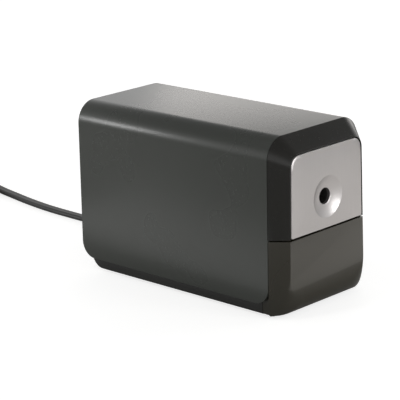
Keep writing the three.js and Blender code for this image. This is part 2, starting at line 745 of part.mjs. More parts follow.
function makeCarrier() {
  const discY = [frontFrameY + 0.2, frontFrameY + frameThickness];
  const rearY1 = carrierRearY + carrierRearWidth;
  const armOuter = carrierRadius - 0.4;
  const armInner = carrierRadius - 4.8;
  const span = THREE.MathUtils.degToRad(22);
  const joined = [
    rod(pencilAxis, carrierRadius, ...discY, 40),
    rod(pencilAxis, armOuter, carrierRearY, rearY1, 32),
    rod(pencilAxis, carrierShaftRadius + 1.2, rearY1 - 1, gearPlateY - gap, 24),
    rod(pencilAxis, carrierShaftRadius, rearY1, motorPlateY + gearPlateThickness - gap, 24),
  ];
  for (const side of [-1, 1]) {
    const middle = Math.PI / 2 + side * THREE.MathUtils.degToRad(118);
    const arm = new THREE.Shape();
    arm.absarc(0, pencilAxisHeight, armOuter, middle - span, middle + span, false);
    arm.absarc(0, pencilAxisHeight, armInner, middle + span, middle - span, true);
    joined.push(alongY(arm, discY[0] + 0.5, rearY1 - 0.5, 6));
  }
  const pinHole = onCutterAxis(rod(origin, cutterPinRadius + gap, pinEnds[0] - 5, pinEnds[1] + gap, 16));
  const passage = rod(pencilAxis, pencilHoleRadius + 0.4, discY[0] - 1, discY[1] + 1, 32);
  add('cutter_carrier', build(joined, [pinHole, passage]), darkSteel);
}

// Gear train

function makeDriveGear() {
  const shape = gearShape({
    module: gearModule, teeth: driveTeeth, addendum: gearModule * 0.9, dedendum: gearModule * 1.25,
    backlash: 0.25, phase: idlerDirection, centre: pencilAxis,
  });
  circleHole(shape, pencilAxis, carrierShaftRadius + gap);
  for (let i = 0; i < 6; i++) {
    circleHole(shape, pencilAxis.clone().add(polar(14, i * Math.PI / 3)), 4, 10);
  }
  add('drive_gear', alongY(shape, driveY, driveY + gearWidth, 8), nylon);
}

function makeIdler() {
  const small = gearShape({
    module: gearModule, teeth: idlerPinionTeeth, addendum: gearModule * 0.9,
    dedendum: gearModule * 1.25, backlash: 0.25,
    phase: idlerDirection + Math.PI + Math.PI / idlerPinionTeeth, centre: idlerAxis,
  });
  const large = gearShape({
    module: fineModule, teeth: idlerTeeth, addendum: fineModule * 0.9, dedendum: fineModule * 1.25,
    backlash: 0.25, phase: motorDirection, centre: idlerAxis,
  });
  const bore = rod(idlerAxis, idlerShaftRadius + gap, driveY - 1, idlerY + idlerWidth + 1, 20);
  const geometry = build(
    [alongY(small, driveY, idlerY + 0.5), alongY(large, idlerY, idlerY + idlerWidth)], [bore]);
  add('intermediate_gear', geometry, nylon);
}

function makeIdlerShaft() {
  const y1 = motorPlateY + gearPlateThickness;
  add('intermediate_shaft', rod(idlerAxis, idlerShaftRadius, gearPlateY, y1, 16), steel);
}

function makeGearPlates() {
  const front = frameOutline();
  circleHole(front, pencilAxis, carrierShaftRadius + gap);
  circleHole(front, idlerAxis, idlerShaftRadius + gap);
  circleHole(front, plungerPlace, plungerRadius + gap);
  add('gear_plate', alongY(front, gearPlateY, gearPlateY + gearPlateThickness, 10), steel);

  const rear = frameOutline();
  circleHole(rear, pencilAxis, carrierShaftRadius + gap);
  circleHole(rear, idlerAxis, idlerShaftRadius + gap);
  circleHole(rear, motorAxis, rotorShaftRadius + 1);
  for (const place of motorScrewPlaces) circleHole(rear, place, motorScrewRadius + gap);
  add('motor_plate', alongY(rear, motorPlateY, motorPlateY + gearPlateThickness, 10), steel);
}

function makeSpacers() {
  const y0 = gearPlateY + gearPlateThickness + gap;
  spacerPlaces.forEach((place, i) => {
    add(`gearbox_spacer_${i + 1}`, rod(place, spacerRadius, y0, motorPlateY - gap, 12), brass);
  });
}

// Motor: a shaded-pole stack with its coil on the upper leg

function makeStator() {
  const { x, y: z } = motorAxis;
  const shape = roundedRectangle(
    x - stackHalfWidth, x + stackHalfWidth, z - stackBelow, z + stackAbove, 2);
  circleHole(shape, motorAxis, rotorRadius + airGap, 32);
  for (const place of motorScrewPlaces) circleHole(shape, place, motorScrewRadius + gap);
  const window = box(
    x - windowHalfWidth, x + windowHalfWidth, stackY - 1, stackRearY + 1,
    z + stackAbove - 2 * legHeight, z + stackAbove - legHeight);
  const slots = [-1, 1].map((side) => {
    const middle = x + side * (shadeHole.x + shadeHole.size / 2);
    const zs = z - side * shadeHole.z;
    const half = shadeHole.size / 2 + gap;
    return box(middle - half, middle + half, stackY - 1, stackRearY + 1, zs - half, zs + half);
  });
  add('stator_stack', build([alongY(shape, stackY, stackRearY, 10)], [window, ...slots]), darkSteel);
}

// Each shading ring is a copper band through the stack and round its outside.
function makeShadingRings() {
  [-1, 1].forEach((side, i) => {
    const z = motorAxis.y - side * shadeHole.z;
    const near = motorAxis.x + side * shadeHole.x;
    const far = motorAxis.x + side * (stackHalfWidth + gap + shadeHole.size);
    const x0 = Math.min(near, far);
    const x1 = Math.max(near, far);
    const band = shadeHole.size;
    const half = band / 2;
    const outer = box(x0, x1, stackY - gap - 1.6, stackRearY + gap + 1.6, z - half, z + half);
    const inner = box(x0 + band, x1 - band, stackY - gap, stackRearY + gap, z - half - 1, z + half + 1);
    add(`shading_ring_${i + 1}`, build([outer], [inner]), copper);
  });
}

function makeCoil() {
  const { x, y: z } = motorAxis;
  const half = windowHalfWidth - gap;
  const legBottom = z + stackAbove - legHeight;
  const legTop = z + stackAbove;
  const tubeWall = 1.2;
  const windingDepth = legHeight - 1.6; // height of the winding below the leg
  const shell = (reach, x0, x1) => box(
    x0, x1, stackY - gap - reach, stackRearY + gap + reach, legBottom - gap - reach, legTop + gap + reach);
  const leg = shell(0, x - half - 1, x + half + 1);
  const flange = windingDepth + 0.3;
  const bobbin = build(
    [shell(tubeWall, x - half, x + half), shell(flange, x - half, x - half + 1.4),
      shell(flange, x + half - 1.4, x + half)], [leg]);
  add('coil_bobbin', bobbin, nylon);
  const winding = build(
    [shell(windingDepth, x - half + 1.4 + gap, x + half - 1.4 - gap)],
    [shell(tubeWall + gap, x - half - 1, x + half + 1)]);
  add('stator_coil', winding, copper);
}

function makeRotor() {
  const y0 = stackY - 1;
  const y1 = stackRearY + 1;
  add('rotor', build(
    [rod(motorAxis, rotorRadius, y0, y1, 32)],
    [rod(motorAxis, rotorShaftRadius + gap, y0 - 1, y1 + 1, 16)]), steel);
  add('rotor_shaft', rod(motorAxis, rotorShaftRadius, idlerY - 0.3, fanY + 9, 16), steel);
  const pinion = gearShape({
    module: fineModule, teeth: motorPinionTeeth, addendum: fineModule * 0.9,
    dedendum: fineModule * 1.2, backlash: 0.25,
    phase: motorDirection + Math.PI + Math.PI / motorPinionTeeth, centre: motorAxis,
  });
  circleHole(pinion, motorAxis, rotorShaftRadius + 0.25);
  add('motor_pinion', alongY(pinion, idlerY - 0.2, idlerY + idlerWidth + 0.5, 6), brass);
}

// A bracket is a strap with two legs that stand on the stack, and a bush in the middle.
function makeBracket(name, strapY, towards, legEnd) {
  const { x, y: z } = motorAxis;
  const reach = motorScrewReach + 3.5;
  const thickness = 2;
  const bossLength = 5;
  const span = (from, length) => [from, from + towards * length].sort((a, b) => a - b);
  const legs = [-1, 1].map((side) => {
    const xs = [x + side * (motorScrewReach - 3.2), x + side * reach].sort((a, b) => a - b);
    return box(...xs, ...[strapY, legEnd].sort((a, b) => a - b), z - 4.5, z + 4.5);
  });
  const strap = box(x - reach, x + reach, ...span(strapY, thickness), z - 4.5, z + 4.5);
  const boss = rod(motorAxis, bushRadius + 1.8, ...span(strapY, bossLength), 24);
  const low = Math.min(strapY, legEnd) - 1;
  const high = Math.max(strapY, legEnd) + 1;
  const cuts = [rod(motorAxis, bushRadius + gap, low, high, 24)];
  for (const place of motorScrewPlaces) cuts.push(rod(place, motorScrewRadius + gap, low, high, 12));
  add(name, build([strap, boss, ...legs], cuts), steel);
  const bushSpan = span(strapY + towards * 0.2, bossLength - 0.4);
  const bush = build(
    [rod(motorAxis, bushRadius, ...bushSpan, 20)],
    [rod(motorAxis, rotorShaftRadius + gap, low, high, 16)]);
  add(`${name}_bush`, bush, brass);
}

function makeMotorFrame() {
  makeBracket('front_motor_bracket', bracketY, 1, stackY - gap);
  makeBracket('rear_motor_bracket', stackRearY + 10, -1, stackRearY + gap);
  motorScrewPlaces.forEach((place, i) => {
    const headY = stackRearY + 10 + gap;
    const profile = [[0, 0], [3, 0], [3, 2], [motorScrewRadius, 2],
      [motorScrewRadius, headY + 2 - motorPlateY], [0, headY + 2 - motorPlateY]];
    const screw = turned(profile, 14).rotateX(Math.PI).translate(place.x, headY + 2, place.y);
    add(`motor_screw_${i + 1}`, screw, darkSteel);
  });
}

function makeFan() {
  const hub = rod(motorAxis, 6, fanY, fanY + 8, 20);
  const blades = [];
  const count = 6;
  for (let i = 0; i < count; i++) {
    const blade = new THREE.BoxGeometry(fanRadius - 4, 1.4, 9);
    blade.rotateX(THREE.MathUtils.degToRad(38)).translate((fanRadius + 4) / 2, 0, 0);
    blade.rotateY(i * 2 * Math.PI / count).translate(motorAxis.x, fanY + 4, motorAxis.y);
    blades.push(blade);
  }
  const bore = rod(motorAxis, rotorShaftRadius + gap, fanY - 1, fanY + 9, 16);
  add('cooling_fan', build([hub, ...blades], [bore]), basePlastic);
}

// Pencil sensing: the pencil swings a lever, which pushes the button of the start switch

function makeLever() {
  const { y, z } = leverPivot;
  const tip = { y: y + leverArm * Math.sin(leverRest), z: z - leverArm * Math.cos(leverRest) };
  const half = leverHalfWidth;
  const across = (radius, py, pz, halfWidth = half) => {
    const geometry = new THREE.CylinderGeometry(radius, radius, 2 * halfWidth, 14);
    return geometry.rotateZ(Math.PI / 2).translate(0, py, pz);
  };
  const bar = (from, to, thickness) => {
    const length = Math.hypot(to.y - from.y, to.z - from.z);
    const geometry = new THREE.BoxGeometry(2 * half, length, thickness);
    geometry.rotateX(Math.atan2(to.z - from.z, to.y - from.y));
    return geometry.translate(0, (from.y + to.y) / 2, (from.z + to.z) / 2);
  };
  const nose = { y: y + leverNose.y, z: z + leverNose.z };
  const inset = { y: tip.y - 0.4, z: tip.z + 1.1 };
  const geometry = build(
    [across(2.6, y, z), bar(leverPivot, inset, 2), across(1.1, inset.y, inset.z),
      bar(leverPivot, nose, 2), across(1.2, nose.y, nose.z)],
    [across(leverPinRadius + gap, y, z, half + 1)]);
  add('sensing_lever', geometry, basePlastic);
  add('lever_pin', leverPin(leverPinRadius, leverHalfWidth + gap + leverEarGap + 1), steel);
  const turns = 3;
  const helix = [];
  const stepsPerTurn = 8;
  for (let i = 0; i <= turns * stepsPerTurn; i++) {
    const angle = i / stepsPerTurn * 2 * Math.PI;
    helix.push([half + 0.55 + 0.5 * i / stepsPerTurn, y + 2 * Math.cos(angle), z + 2 * Math.sin(angle)]);
  }
  const wire = new THREE.Shape(circlePoints(origin, 0.2, 5));
  add('lever_spring', tubeAlong(helix, wire, 1.6), steel);
}

function makeStartSwitch() {
  const y = leverPivot.y + leverNose.y;
  const half = buttonHalf;
  const z0 = switchFloor;
  const body = box(-5, 5, leverPivot.y - 2, leverPivot.y + 8.6, z0, z0 + 7);
  const pocket = box(
    -half - gap, half + gap, y - half - gap, y + half + gap, z0 - 1, z0 + 2.2 + buttonTravel);
  add('start_switch', build([body], [pocket]), basePlastic);
  const buttonFoot = leverPivot.z + leverNose.z + 1.2 + gap;
  add('start_switch_button', box(-half, half, y - half, y + half, buttonFoot, z0 + 1.9), nylon);
}

// Receptacle interlock: the drawer's back holds a plunger in

function makeInterlock() {
  const { x, y: z } = plungerPlace;
  const y0 = gearPlateY + gearPlateThickness + 1.7;
  const body = box(x - 5, x + 5, y0, y0 + interlockLength, baseTop + gap, z + 5);
  const pocket = rod(plungerPlace, plungerRadius + gap, y0 - 1, y0 + 4 + gap, 14);
  add('interlock_switch', build([body], [pocket]), basePlastic);
  const tip = frontY + drawerDepth + gap;
  add('interlock_plunger', rod(plungerPlace, plungerRadius, tip, y0 + 4, 14), nylon);
}

// Power cord

function makeStrainRelief() {
  const y0 = rearFaceY - panelThickness - 2;
  const y1 = rearFaceY + reliefLength;
  const profile = [[0, y0], [reliefNeck + 1.6, y0], [reliefNeck + 1.6, y0 + 2 - gap],
    [reliefNeck, y0 + 2 - gap], [reliefNeck, rearFaceY + gap], [reliefNeck + 2, rearFaceY + gap],
    [reliefNeck + 2, rearFaceY + 2.4], [reliefNeck + 0.6, rearFaceY + 3], [4.1, y1], [0, y1]];
  add('cord_strain_relief', turned(profile, 16).translate(cordExit.x, 0, cordExit.z), rubber);
}

function makeCord() {
  const section = new THREE.Shape();
  const flat = (cordWidth - cordThickness) / 2;
  const r = cordThickness / 2;
  for (let i = 0; i < 10; i++) {
    const angle = (i + 0.5) * Math.PI / 5;
    const point = [Math.sign(Math.cos(angle)) * flat + r * Math.cos(angle), r * Math.sin(angle)];
    if (i === 0) section.moveTo(...point);
    else section.lineTo(...point);
  }
  add('power_cord', tubeAlong(cordRoute, section, 9), cordVinyl);
  add('power_cord_tail', tubeAlong(cordTail, section, 6), cordVinyl);
  const r0 = coilRadius - coilBundle / 2;
  const r1 = coilRadius + coilBundle / 2;
  const edge = 2;
  const z0 = coilLift;
  const z1 = coilLift + coilHeight;
  const ring = [[r0 + edge, z0], [r1 - edge, z0], [r1, z0 + edge], [r1, z1 - edge], [r1 - edge, z1],
    [r0 + edge, z1], [r0, z1 - edge], [r0, z0 + edge], [r0 + edge, z0]];
  const coil = turned(ring, 26).rotateX(Math.PI / 2).translate(coilCentre.x, coilCentre.y, 0);
  add('cord_coil', coil, cordVinyl);
}

function makeTie() {
  const wall = 0.7;
  const half = 4;
  const reach = coilBundle / 2 + gap + 0.4;
  const y = coilCentre.y + coilRadius;
  const x = coilCentre.x;
  const foot = 0.1;
  const top = coilLift + coilHeight + gap;
  const outer = box(x - half, x + half, y - reach - wall, y + reach + wall, foot, top + wall);
  const inner = box(x - half - 1, x + half + 1, y - reach, y + reach, foot + wall, top);
  add('cord_tie', build([outer], [inner]), rubber);
}

function makePlug() {
  const [tailX, tailY, tailZ] = cordTail.at(-1);
  const y1 = tailY - gap;
  const y0 = y1 - plugLength;
  const neck = 12;
  const profile = new THREE.Shape();
  profile.moveTo(-13, y0);
  profile.lineTo(13, y0);
  profile.lineTo(13, y0 + 12);
  profile.lineTo(4.6, y1 - neck);
  profile.lineTo(4, y1);
  profile.lineTo(-4, y1);
  profile.lineTo(-4.6, y1 - neck);
  profile.lineTo(-13, y0 + 12);
  const options = { depth: 13, bevelEnabled: false };
  const body = new THREE.ExtrudeGeometry(profile, options).translate(tailX, 0, tailZ - 6.5);
  add('plug_body', body, cordVinyl);
  [-1, 1].forEach((side, i) => {
    const x = tailX + side * bladeSpacing / 2;
    const blade = box(
      x - bladeThickness / 2, x + bladeThickness / 2, y0 - gap - bladeLength, y0 - gap,
      tailZ - bladeWidth / 2, tailZ + bladeWidth / 2);
    add(`plug_blade_${i + 1}`, blade, brass);
  });
}

makeCover();
makeBezel();
makeFacePlate();
makeReceptacle();
makeBase();
makeRearPanel();
makeBaseScrews();
makeFeet();
makeFrontFrame();
makeGuide();
makeRingGear();
makeCutter();
makeCutterPinion();
makeCutterPin();
makeCarrier();
makeDriveGear();
makeIdler();
makeIdlerShaft();
makeGearPlates();
makeSpacers();
makeStator();
makeShadingRings();
makeCoil();
makeRotor();
makeMotorFrame();
makeFan();
makeLever();
makeStartSwitch();
makeInterlock();
makeStrainRelief();
makeCord();
makeTie();
makePlug();

export default object;
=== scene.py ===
# An electric pencil sharpener on a pale table, built in the order it is put together.
# Metres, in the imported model's own frame: +Z up, the pencil goes in along +Y.
import json
import math
import bmesh
import bpy
from mathutils import Matrix, Vector

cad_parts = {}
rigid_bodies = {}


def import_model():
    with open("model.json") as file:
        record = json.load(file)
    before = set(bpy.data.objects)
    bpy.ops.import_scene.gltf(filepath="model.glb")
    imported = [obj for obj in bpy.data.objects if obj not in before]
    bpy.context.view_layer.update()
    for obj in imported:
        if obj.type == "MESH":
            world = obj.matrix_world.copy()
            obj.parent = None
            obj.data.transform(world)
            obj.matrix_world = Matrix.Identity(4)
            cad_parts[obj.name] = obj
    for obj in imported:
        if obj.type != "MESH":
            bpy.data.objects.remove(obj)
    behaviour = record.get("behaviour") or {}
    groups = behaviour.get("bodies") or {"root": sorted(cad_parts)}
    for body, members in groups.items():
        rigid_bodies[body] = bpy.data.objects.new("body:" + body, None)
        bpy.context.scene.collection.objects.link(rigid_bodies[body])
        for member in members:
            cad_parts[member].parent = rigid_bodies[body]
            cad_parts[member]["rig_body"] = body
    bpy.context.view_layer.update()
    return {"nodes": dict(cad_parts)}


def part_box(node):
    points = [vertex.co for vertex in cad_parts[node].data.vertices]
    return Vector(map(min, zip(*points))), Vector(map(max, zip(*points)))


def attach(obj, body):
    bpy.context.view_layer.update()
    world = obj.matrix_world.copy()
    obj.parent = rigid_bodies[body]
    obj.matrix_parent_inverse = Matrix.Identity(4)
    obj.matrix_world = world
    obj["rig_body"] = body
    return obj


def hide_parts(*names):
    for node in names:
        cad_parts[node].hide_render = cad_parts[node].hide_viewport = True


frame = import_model()
node = frame["nodes"]


# Camera: a long lens at desk height, in front of the sharpener's left corner and turned
# down a little, with the slight roll of a hand-levelled tripod.
camera_yaw = math.radians(46.058)
camera_pitch = math.radians(16.093)
camera_roll = math.radians(-1.717)
forward = Vector((math.sin(camera_yaw) * math.cos(camera_pitch),
                  math.cos(camera_yaw) * math.cos(camera_pitch), -math.sin(camera_pitch)))
level_right = Vector((math.cos(camera_yaw), -math.sin(camera_yaw), 0))
level_up = level_right.cross(forward)
camera_right = level_right * math.cos(camera_roll) + level_up * math.sin(camera_roll)
camera_up = level_up * math.cos(camera_roll) - level_right * math.sin(camera_roll)
lens = bpy.data.cameras.new("camera")
lens.lens = 168.2
lens.sensor_width = 36
lens.clip_end = 20
camera = bpy.data.objects.new("camera", lens)
turn = Matrix((camera_right, camera_up, -forward)).transposed().to_4x4()
camera.matrix_world = Matrix.Translation((-0.7460, -0.7007, 0.3424)) @ turn
bpy.context.scene.collection.objects.link(camera)
bpy.context.scene.camera = camera


# Power cord: two stranded copper cores side by side in one vinyl jacket, with a groove between
# them. It is extruded flat, leaves the rear panel and lies on the table. The length that isn't
# needed is wound into a coil of two columns behind the sharpener.
class Wire:
    """A socket of a material, on which arithmetic adds Math nodes."""

    def __init__(self, tree, socket):
        self.tree = tree
        self.socket = socket

    def math(self, operation, *values):
        made = self.tree.nodes.new("ShaderNodeMath")
        made.operation = operation
        for slot, value in zip(made.inputs, values):
            connect(self.tree, slot, value)
        return Wire(self.tree, made.outputs[0])

    def __add__(self, other):
        return self.math("ADD", self, other)

    def __radd__(self, other):
        return self.math("ADD", other, self)

    def __sub__(self, other):
        return self.math("SUBTRACT", self, other)

    def __rsub__(self, other):
        return self.math("SUBTRACT", other, self)

    def __mul__(self, other):
        return self.math("MULTIPLY", self, other)

    def __rmul__(self, other):
        return self.math("MULTIPLY", other, self)


def connect(tree, socket, value):
    if isinstance(value, Wire):
        tree.links.new(value.socket, socket)
    else:
        socket.default_value = value


class Nodes:
    """A node tree, and the one way in which a node other than arithmetic is added to it."""

    def __init__(self, tree):
        self.tree = tree

    def node(self, kind, settings, sockets, out=0):
        made = self.tree.nodes.new(kind)
        for key, value in settings.items():
            if key == "stops":
                ramp = made.color_ramp
                while len(ramp.elements) < len(value):
                    ramp.elements.new(1)
                for element, (at, colour) in zip(ramp.elements, value):
                    element.position = at
                    element.color = (*colour, 1)
            else:
                setattr(made, key, value)
        for key, value in sockets.items():
            connect(self.tree, made.inputs[key], value)
        return Wire(self.tree, made.outputs[out])


class Finish(Nodes):
    """A material with one Principled shader, and the nodes that feed it."""

    def __init__(self, name):
        self.material = bpy.data.materials.new(name)
        self.material.use_nodes = True
        super().__init__(self.material.node_tree)
        self.shader = self.tree.nodes["Principled BSDF"]
        self.place = self.node("ShaderNodeTexCoord", {}, {}, "Object")

    def noise(self, scale, detail=2.0, place=None, rough=0.5):
        sockets = {"Vector": place or self.place, "Scale": scale, "Detail": detail, "Roughness": rough}
        return self.node("ShaderNodeTexNoise", {}, sockets, "Fac")

    def stretched(self, x, y, z):
        """The place on the piece, stretched along each axis, for grain that runs one way."""
        return self.node("ShaderNodeVectorMath", {"operation": "MULTIPLY"}, {0: self.place, 1: (x, y, z)})

    def step(self, value, low, high):
        """0 below low, 1 above high, with a smooth rise between."""
        sockets = {"Value": value, "From Min": low, "From Max": high}
        return self.node("ShaderNodeMapRange", {"interpolation_type": "SMOOTHSTEP"}, sockets)

    def mix(self, factor, first, second):
        settings = {"data_type": "RGBA"}
        first = first if isinstance(first, Wire) else (*first, 1)
        second = second if isinstance(second, Wire) else (*second, 1)
        return self.node("ShaderNodeMix", settings, {"Factor": factor, 6: first, 7: second}, 2)

    def bump(self, height, distance, strength):
        sockets = {"Height": height, "Distance": distance, "Strength": strength}
        return self.node("ShaderNodeBump", {}, sockets)

    def set(self, **sockets):
        for key, value in sockets.items():
            colour = isinstance(value, tuple) and len(value) == 3
            connect(self.tree, self.shader.inputs[key.replace("_", " ")], (*value, 1) if colour else value)
        return self.material


def cord_vinyl():
    finish = Finish("cord_vinyl")
    mottle = finish.noise(160, 3)
    dust = finish.step(finish.noise(900, 4), 0.55, 0.75)
    colour = finish.mix(mottle, (0.040, 0.040, 0.040), (0.062, 0.062, 0.060))
    height = finish.noise(2600, 2) * 0.6 + mottle
    return finish.set(
        Base_Color=finish.mix(dust * 0.25, colour, (0.14, 0.14, 0.13)),
        Roughness=0.36 + 0.14 * mottle + 0.1 * dust, Normal=finish.bump(height, 0.00006, 0.6))


def mesh_piece(name, points, faces, material, smooth=30):
    mesh = bpy.data.meshes.new(name)
    mesh.from_pydata([tuple(p) for p in points], [], faces)
    shape = bmesh.new()
    shape.from_mesh(mesh)
    bmesh.ops.remove_doubles(shape, verts=shape.verts, dist=1e-7)
    bmesh.ops.recalc_face_normals(shape, faces=shape.faces)
    shape.to_mesh(mesh)
    shape.free()
    mesh.materials.append(material)
    piece = bpy.data.objects.new(name, mesh)
    bpy.context.scene.collection.objects.link(piece)
    shade(piece, smooth)
    return piece


def shade(piece, angle=30):
    piece.data.shade_smooth()
    piece.data.set_sharp_from_angle(angle=math.radians(angle))


def skin(name, rings, material, capped=True, smooth=30):
    """A surface through closed rings of points of equal count, capped at both ends."""
    count = len(rings[0])
    points = [p for ring in rings for p in ring]
    faces = []
    for i in range(len(rings) - 1):
        for j in range(count):
            a, b = i * count + j, i * count + (j + 1) % count
            faces.append((a, b, b + count, a + count))
    if capped:
        faces.append(tuple(reversed(range(count))))
        faces.append(tuple(range(len(points) - count, len(points))))
    return mesh_piece(name, points, faces, material, smooth)


def through(points, spacing):
    """A smooth curve through given points, as points about the spacing apart."""
    given = [Vector(p) for p in points]
    given = [2 * given[0] - given[1], *given, 2 * given[-1] - given[-2]]
    made = []
    for a, b, c, d in zip(given, given[1:], given[2:], given[3:]):
        steps = max(1, round((c - b).length / spacing))
        for t in (k / steps for k in range(steps)):
            made.append(0.5 * (2 * b + (c - a) * t + (2 * a - 5 * b + 4 * c - d) * t * t
                               + (3 * b - 3 * c + d - a) * t ** 3))
    return made + [given[-2]]


cord_width = 0.0065
cord_thickness = 0.0032
cord_lobe = cord_thickness / 2
cord_groove = 0.00042
relief_low, relief_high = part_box("cord_strain_relief")
cord_exit = ((relief_low.x + relief_high.x) / 2, relief_high.y, (relief_low.z + relief_high.z) / 2)
cord_route = [
    (0.024, 0.0986, 0.020), (0.0241, 0.104, 0.0197), (0.0244, 0.110, 0.0182), (0.0248, 0.117, 0.0146),
    (0.0254, 0.124, 0.0102), (0.026, 0.131, 0.0062), (0.0267, 0.138, 0.0034), (0.0274, 0.145, 0.0021),
    (0.028, 0.153, 0.0018), (0.0282, 0.162, 0.0018), (0.0285, 0.172, 0.0018), (0.0293, 0.184, 0.0018),
    (0.0308, 0.197, 0.0018), (0.033, 0.211, 0.0018), (0.0357, 0.225, 0.0018), (0.0383, 0.239, 0.0019),
    (0.0402, 0.250, 0.0024), (0.04095, 0.2595, 0.0029), (0.04095, 0.273, 0.0029),
]
cord_tail = [
    (-0.03975, 0.273, 0.0086), (-0.03975, 0.2595, 0.0072), (-0.03975, 0.254, 0.0071),
    (-0.0397, 0.248, 0.0069), (-0.0396, 0.2432, 0.0068),
]
coil_low, coil_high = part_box("cord_coil")
coil_x = (coil_low.x + coil_high.x) / 2
coil_y = (coil_low.y + coil_high.y) / 2
coil_outer = 0.04035
coil_inner = 0.03365
coil_layer = 0.0033
coil_first_z = 0.0029


def ease(value, low, high):
    t = min(1, max(0, (value - low) / (high - low)))
    return t * t * (3 - 2 * t)


def coil_point(turns):
    """The coil: one outer turn on the table, four inner turns up, then one and a half outer ones."""
    whole, part = divmod(turns, 1)
    climb = ease(part, 0.82, 0.97)
    inward = climb if whole == 0 else 1 - climb if whole == 4 else float(whole < 4)
    if whole == 0:
        layer = 0
    elif whole < 4:
        layer = whole - 1 + climb
    elif whole == 4:
        layer = 3 - 2 * climb
    else:
        layer = 1 + ease(turns, 5.82, 5.97)
    radius = coil_outer + (coil_inner - coil_outer) * inward
    angle = 2 * math.pi * turns
    return Vector((coil_x + radius * math.cos(angle), coil_y + radius * math.sin(angle),
                   coil_first_z + coil_layer * layer))


coil_turns = 6.5
coil_steps = 40
coil = [coil_point(i / coil_steps) for i in range(int(coil_turns * coil_steps) + 1)]
cord_path = through(cord_route, 0.004) + coil + through(cord_tail, 0.004)


def cord_section():
    """Two round cores side by side, with a shallow groove above and below."""
    half = cord_width / 2 - cord_lobe
    points = []
    for side in (1, -1):
        for i in range(11):
            angle = math.radians(-90 + 18 * i) if side > 0 else math.radians(90 + 18 * i)
            x, z = half * side + cord_lobe * math.cos(angle), cord_lobe * math.sin(angle)
            points.append((x, z))
        points.append((0, side * (cord_lobe - cord_groove)))
    return points


def heading(path, i):
    """The direction of a path at one of its points."""
    return (path[min(i + 1, len(path) - 1)] - path[max(i - 1, 0)]).normalized()


cord_rings = []
for i, place in enumerate(cord_path):
    along = heading(cord_path, i)
    across = along.cross(Vector((0, 0, 1))).normalized()
    over = across.cross(along)
    cord_rings.append([place + across * x + over * z for x, z in cord_section()])
jacket = cord_vinyl()
power_cord = skin("power_cord_visual", cord_rings, jacket, smooth=50)
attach(power_cord, "root")
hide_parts("power_cord", "power_cord_tail", "cord_coil")


# Plug: a two-blade plug moulded straight onto the cord, with finger grips and a ribbed neck.
# The blades are stamped brass strip with a round hole near each tip.
plug_low, plug_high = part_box("plug_body")
plug_x = (plug_low.x + plug_high.x) / 2
plug_z = (plug_low.z + plug_high.z) / 2
plug_half = Vector(((plug_high.x - plug_low.x) / 2, 0, (plug_high.z - plug_low.z) / 2))


def rounded_ring(cx, cy, cz, half_x, half_z, power, count=48):
    """A rounded oblong in X and Z: power 2 is an ellipse, and more is squarer."""
    ring = []
    for i in range(count):
        angle = 2 * math.pi * i / count
        c, s = math.cos(angle), math.sin(angle)
        ring.append((cx + half_x * math.copysign(abs(c) ** (2 / power), c), cy,
                     cz + half_z * math.copysign(abs(s) ** (2 / power), s)))
    return ring


plug_sections = [
    (0.0, 0.92, 0.90, 5), (0.0006, 0.98, 0.97, 5), (0.0014, 1.0, 1.0, 5), (0.0075, 1.0, 1.0, 5),
    (0.0095, 0.98, 0.95, 4.5), (0.0125, 0.88, 0.84, 4), (0.016, 0.74, 0.75, 3.4), (0.019, 0.62, 0.70, 3),
    (0.022, 0.50, 0.64, 2.8), (0.0245, 0.41, 0.58, 2.6),
]
plug_rings = []
for depth, wide, thick, power in plug_sections:
    plug_rings.append(rounded_ring(plug_x, plug_low.y + depth, plug_z,
                                   plug_half.x * wide, plug_half.z * thick, power))
neck_start = plug_low.y + 0.0255
neck_ribs = 5
for i in range(neck_ribs * 4 + 1):
    share = i / (neck_ribs * 4)
    rib = 0.00035 * (1 if i % 4 in (1, 2) else 0)
    y = neck_start + share * (plug_high.y - neck_start)
    wide = 0.0048 - 0.0010 * share + rib
    plug_rings.append(rounded_ring(plug_x, y, plug_z, wide, 0.0038 - 0.0014 * share + rib, 2.6))
plug_body = skin("plug_body_visual", plug_rings, jacket, smooth=40)
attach(plug_body, "root")
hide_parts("plug_body")


def brass_finish():
    finish = Finish("brass")
    grain = finish.noise(700, 3, finish.stretched(1, 6, 1))
    tarnish = finish.step(finish.noise(220, 4), 0.45, 0.75)
    return finish.set(
        Base_Color=finish.mix(tarnish, (0.62, 0.46, 0.19), (0.36, 0.25, 0.10)), Metallic=1.0,
        Roughness=0.24 + 0.16 * grain + 0.12 * tarnish, Normal=finish.bump(grain, 0.00004, 0.5))


def refined(source, edge, material, segments=3):
    """A piece from a CAD node's own shape, with its edges rounded over."""
    shape = bmesh.new()
    shape.from_mesh(node[source].data)
    bmesh.ops.remove_doubles(shape, verts=shape.verts, dist=2e-6)
    flat = math.radians(0.8)
    bmesh.ops.dissolve_limit(shape, angle_limit=flat, verts=shape.verts, edges=shape.edges)
    mesh = bpy.data.meshes.new(source + "_visual")
    shape.to_mesh(mesh)
    shape.free()
    mesh.materials.clear()
    mesh.materials.append(material)
    piece = bpy.data.objects.new(mesh.name, mesh)
    bpy.context.scene.collection.objects.link(piece)
    round_over(piece, edge, segments)
    shade(piece, 35)
    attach(piece, node[source]["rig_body"])
    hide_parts(source)
    return piece


def round_over(piece, width, segments=3, angle=35):
    """Rounds the edges sharper than the angle."""
    bevel = piece.modifiers.new("edges", "BEVEL")
    bevel.width = width
    bevel.segments = segments
    bevel.limit_method = "ANGLE"
    bevel.angle_limit = math.radians(angle)
    bevel.harden_normals = False
    bevel.miter_outer = "MITER_ARC"
    settle(piece)


def settle(piece):
    """Makes the modifiers' result the piece's own mesh."""
    bpy.context.view_layer.update()
    graph = bpy.context.evaluated_depsgraph_get()
    mesh = bpy.data.meshes.new_from_object(piece.evaluated_get(graph))
    piece.modifiers.clear()
    piece.data = mesh


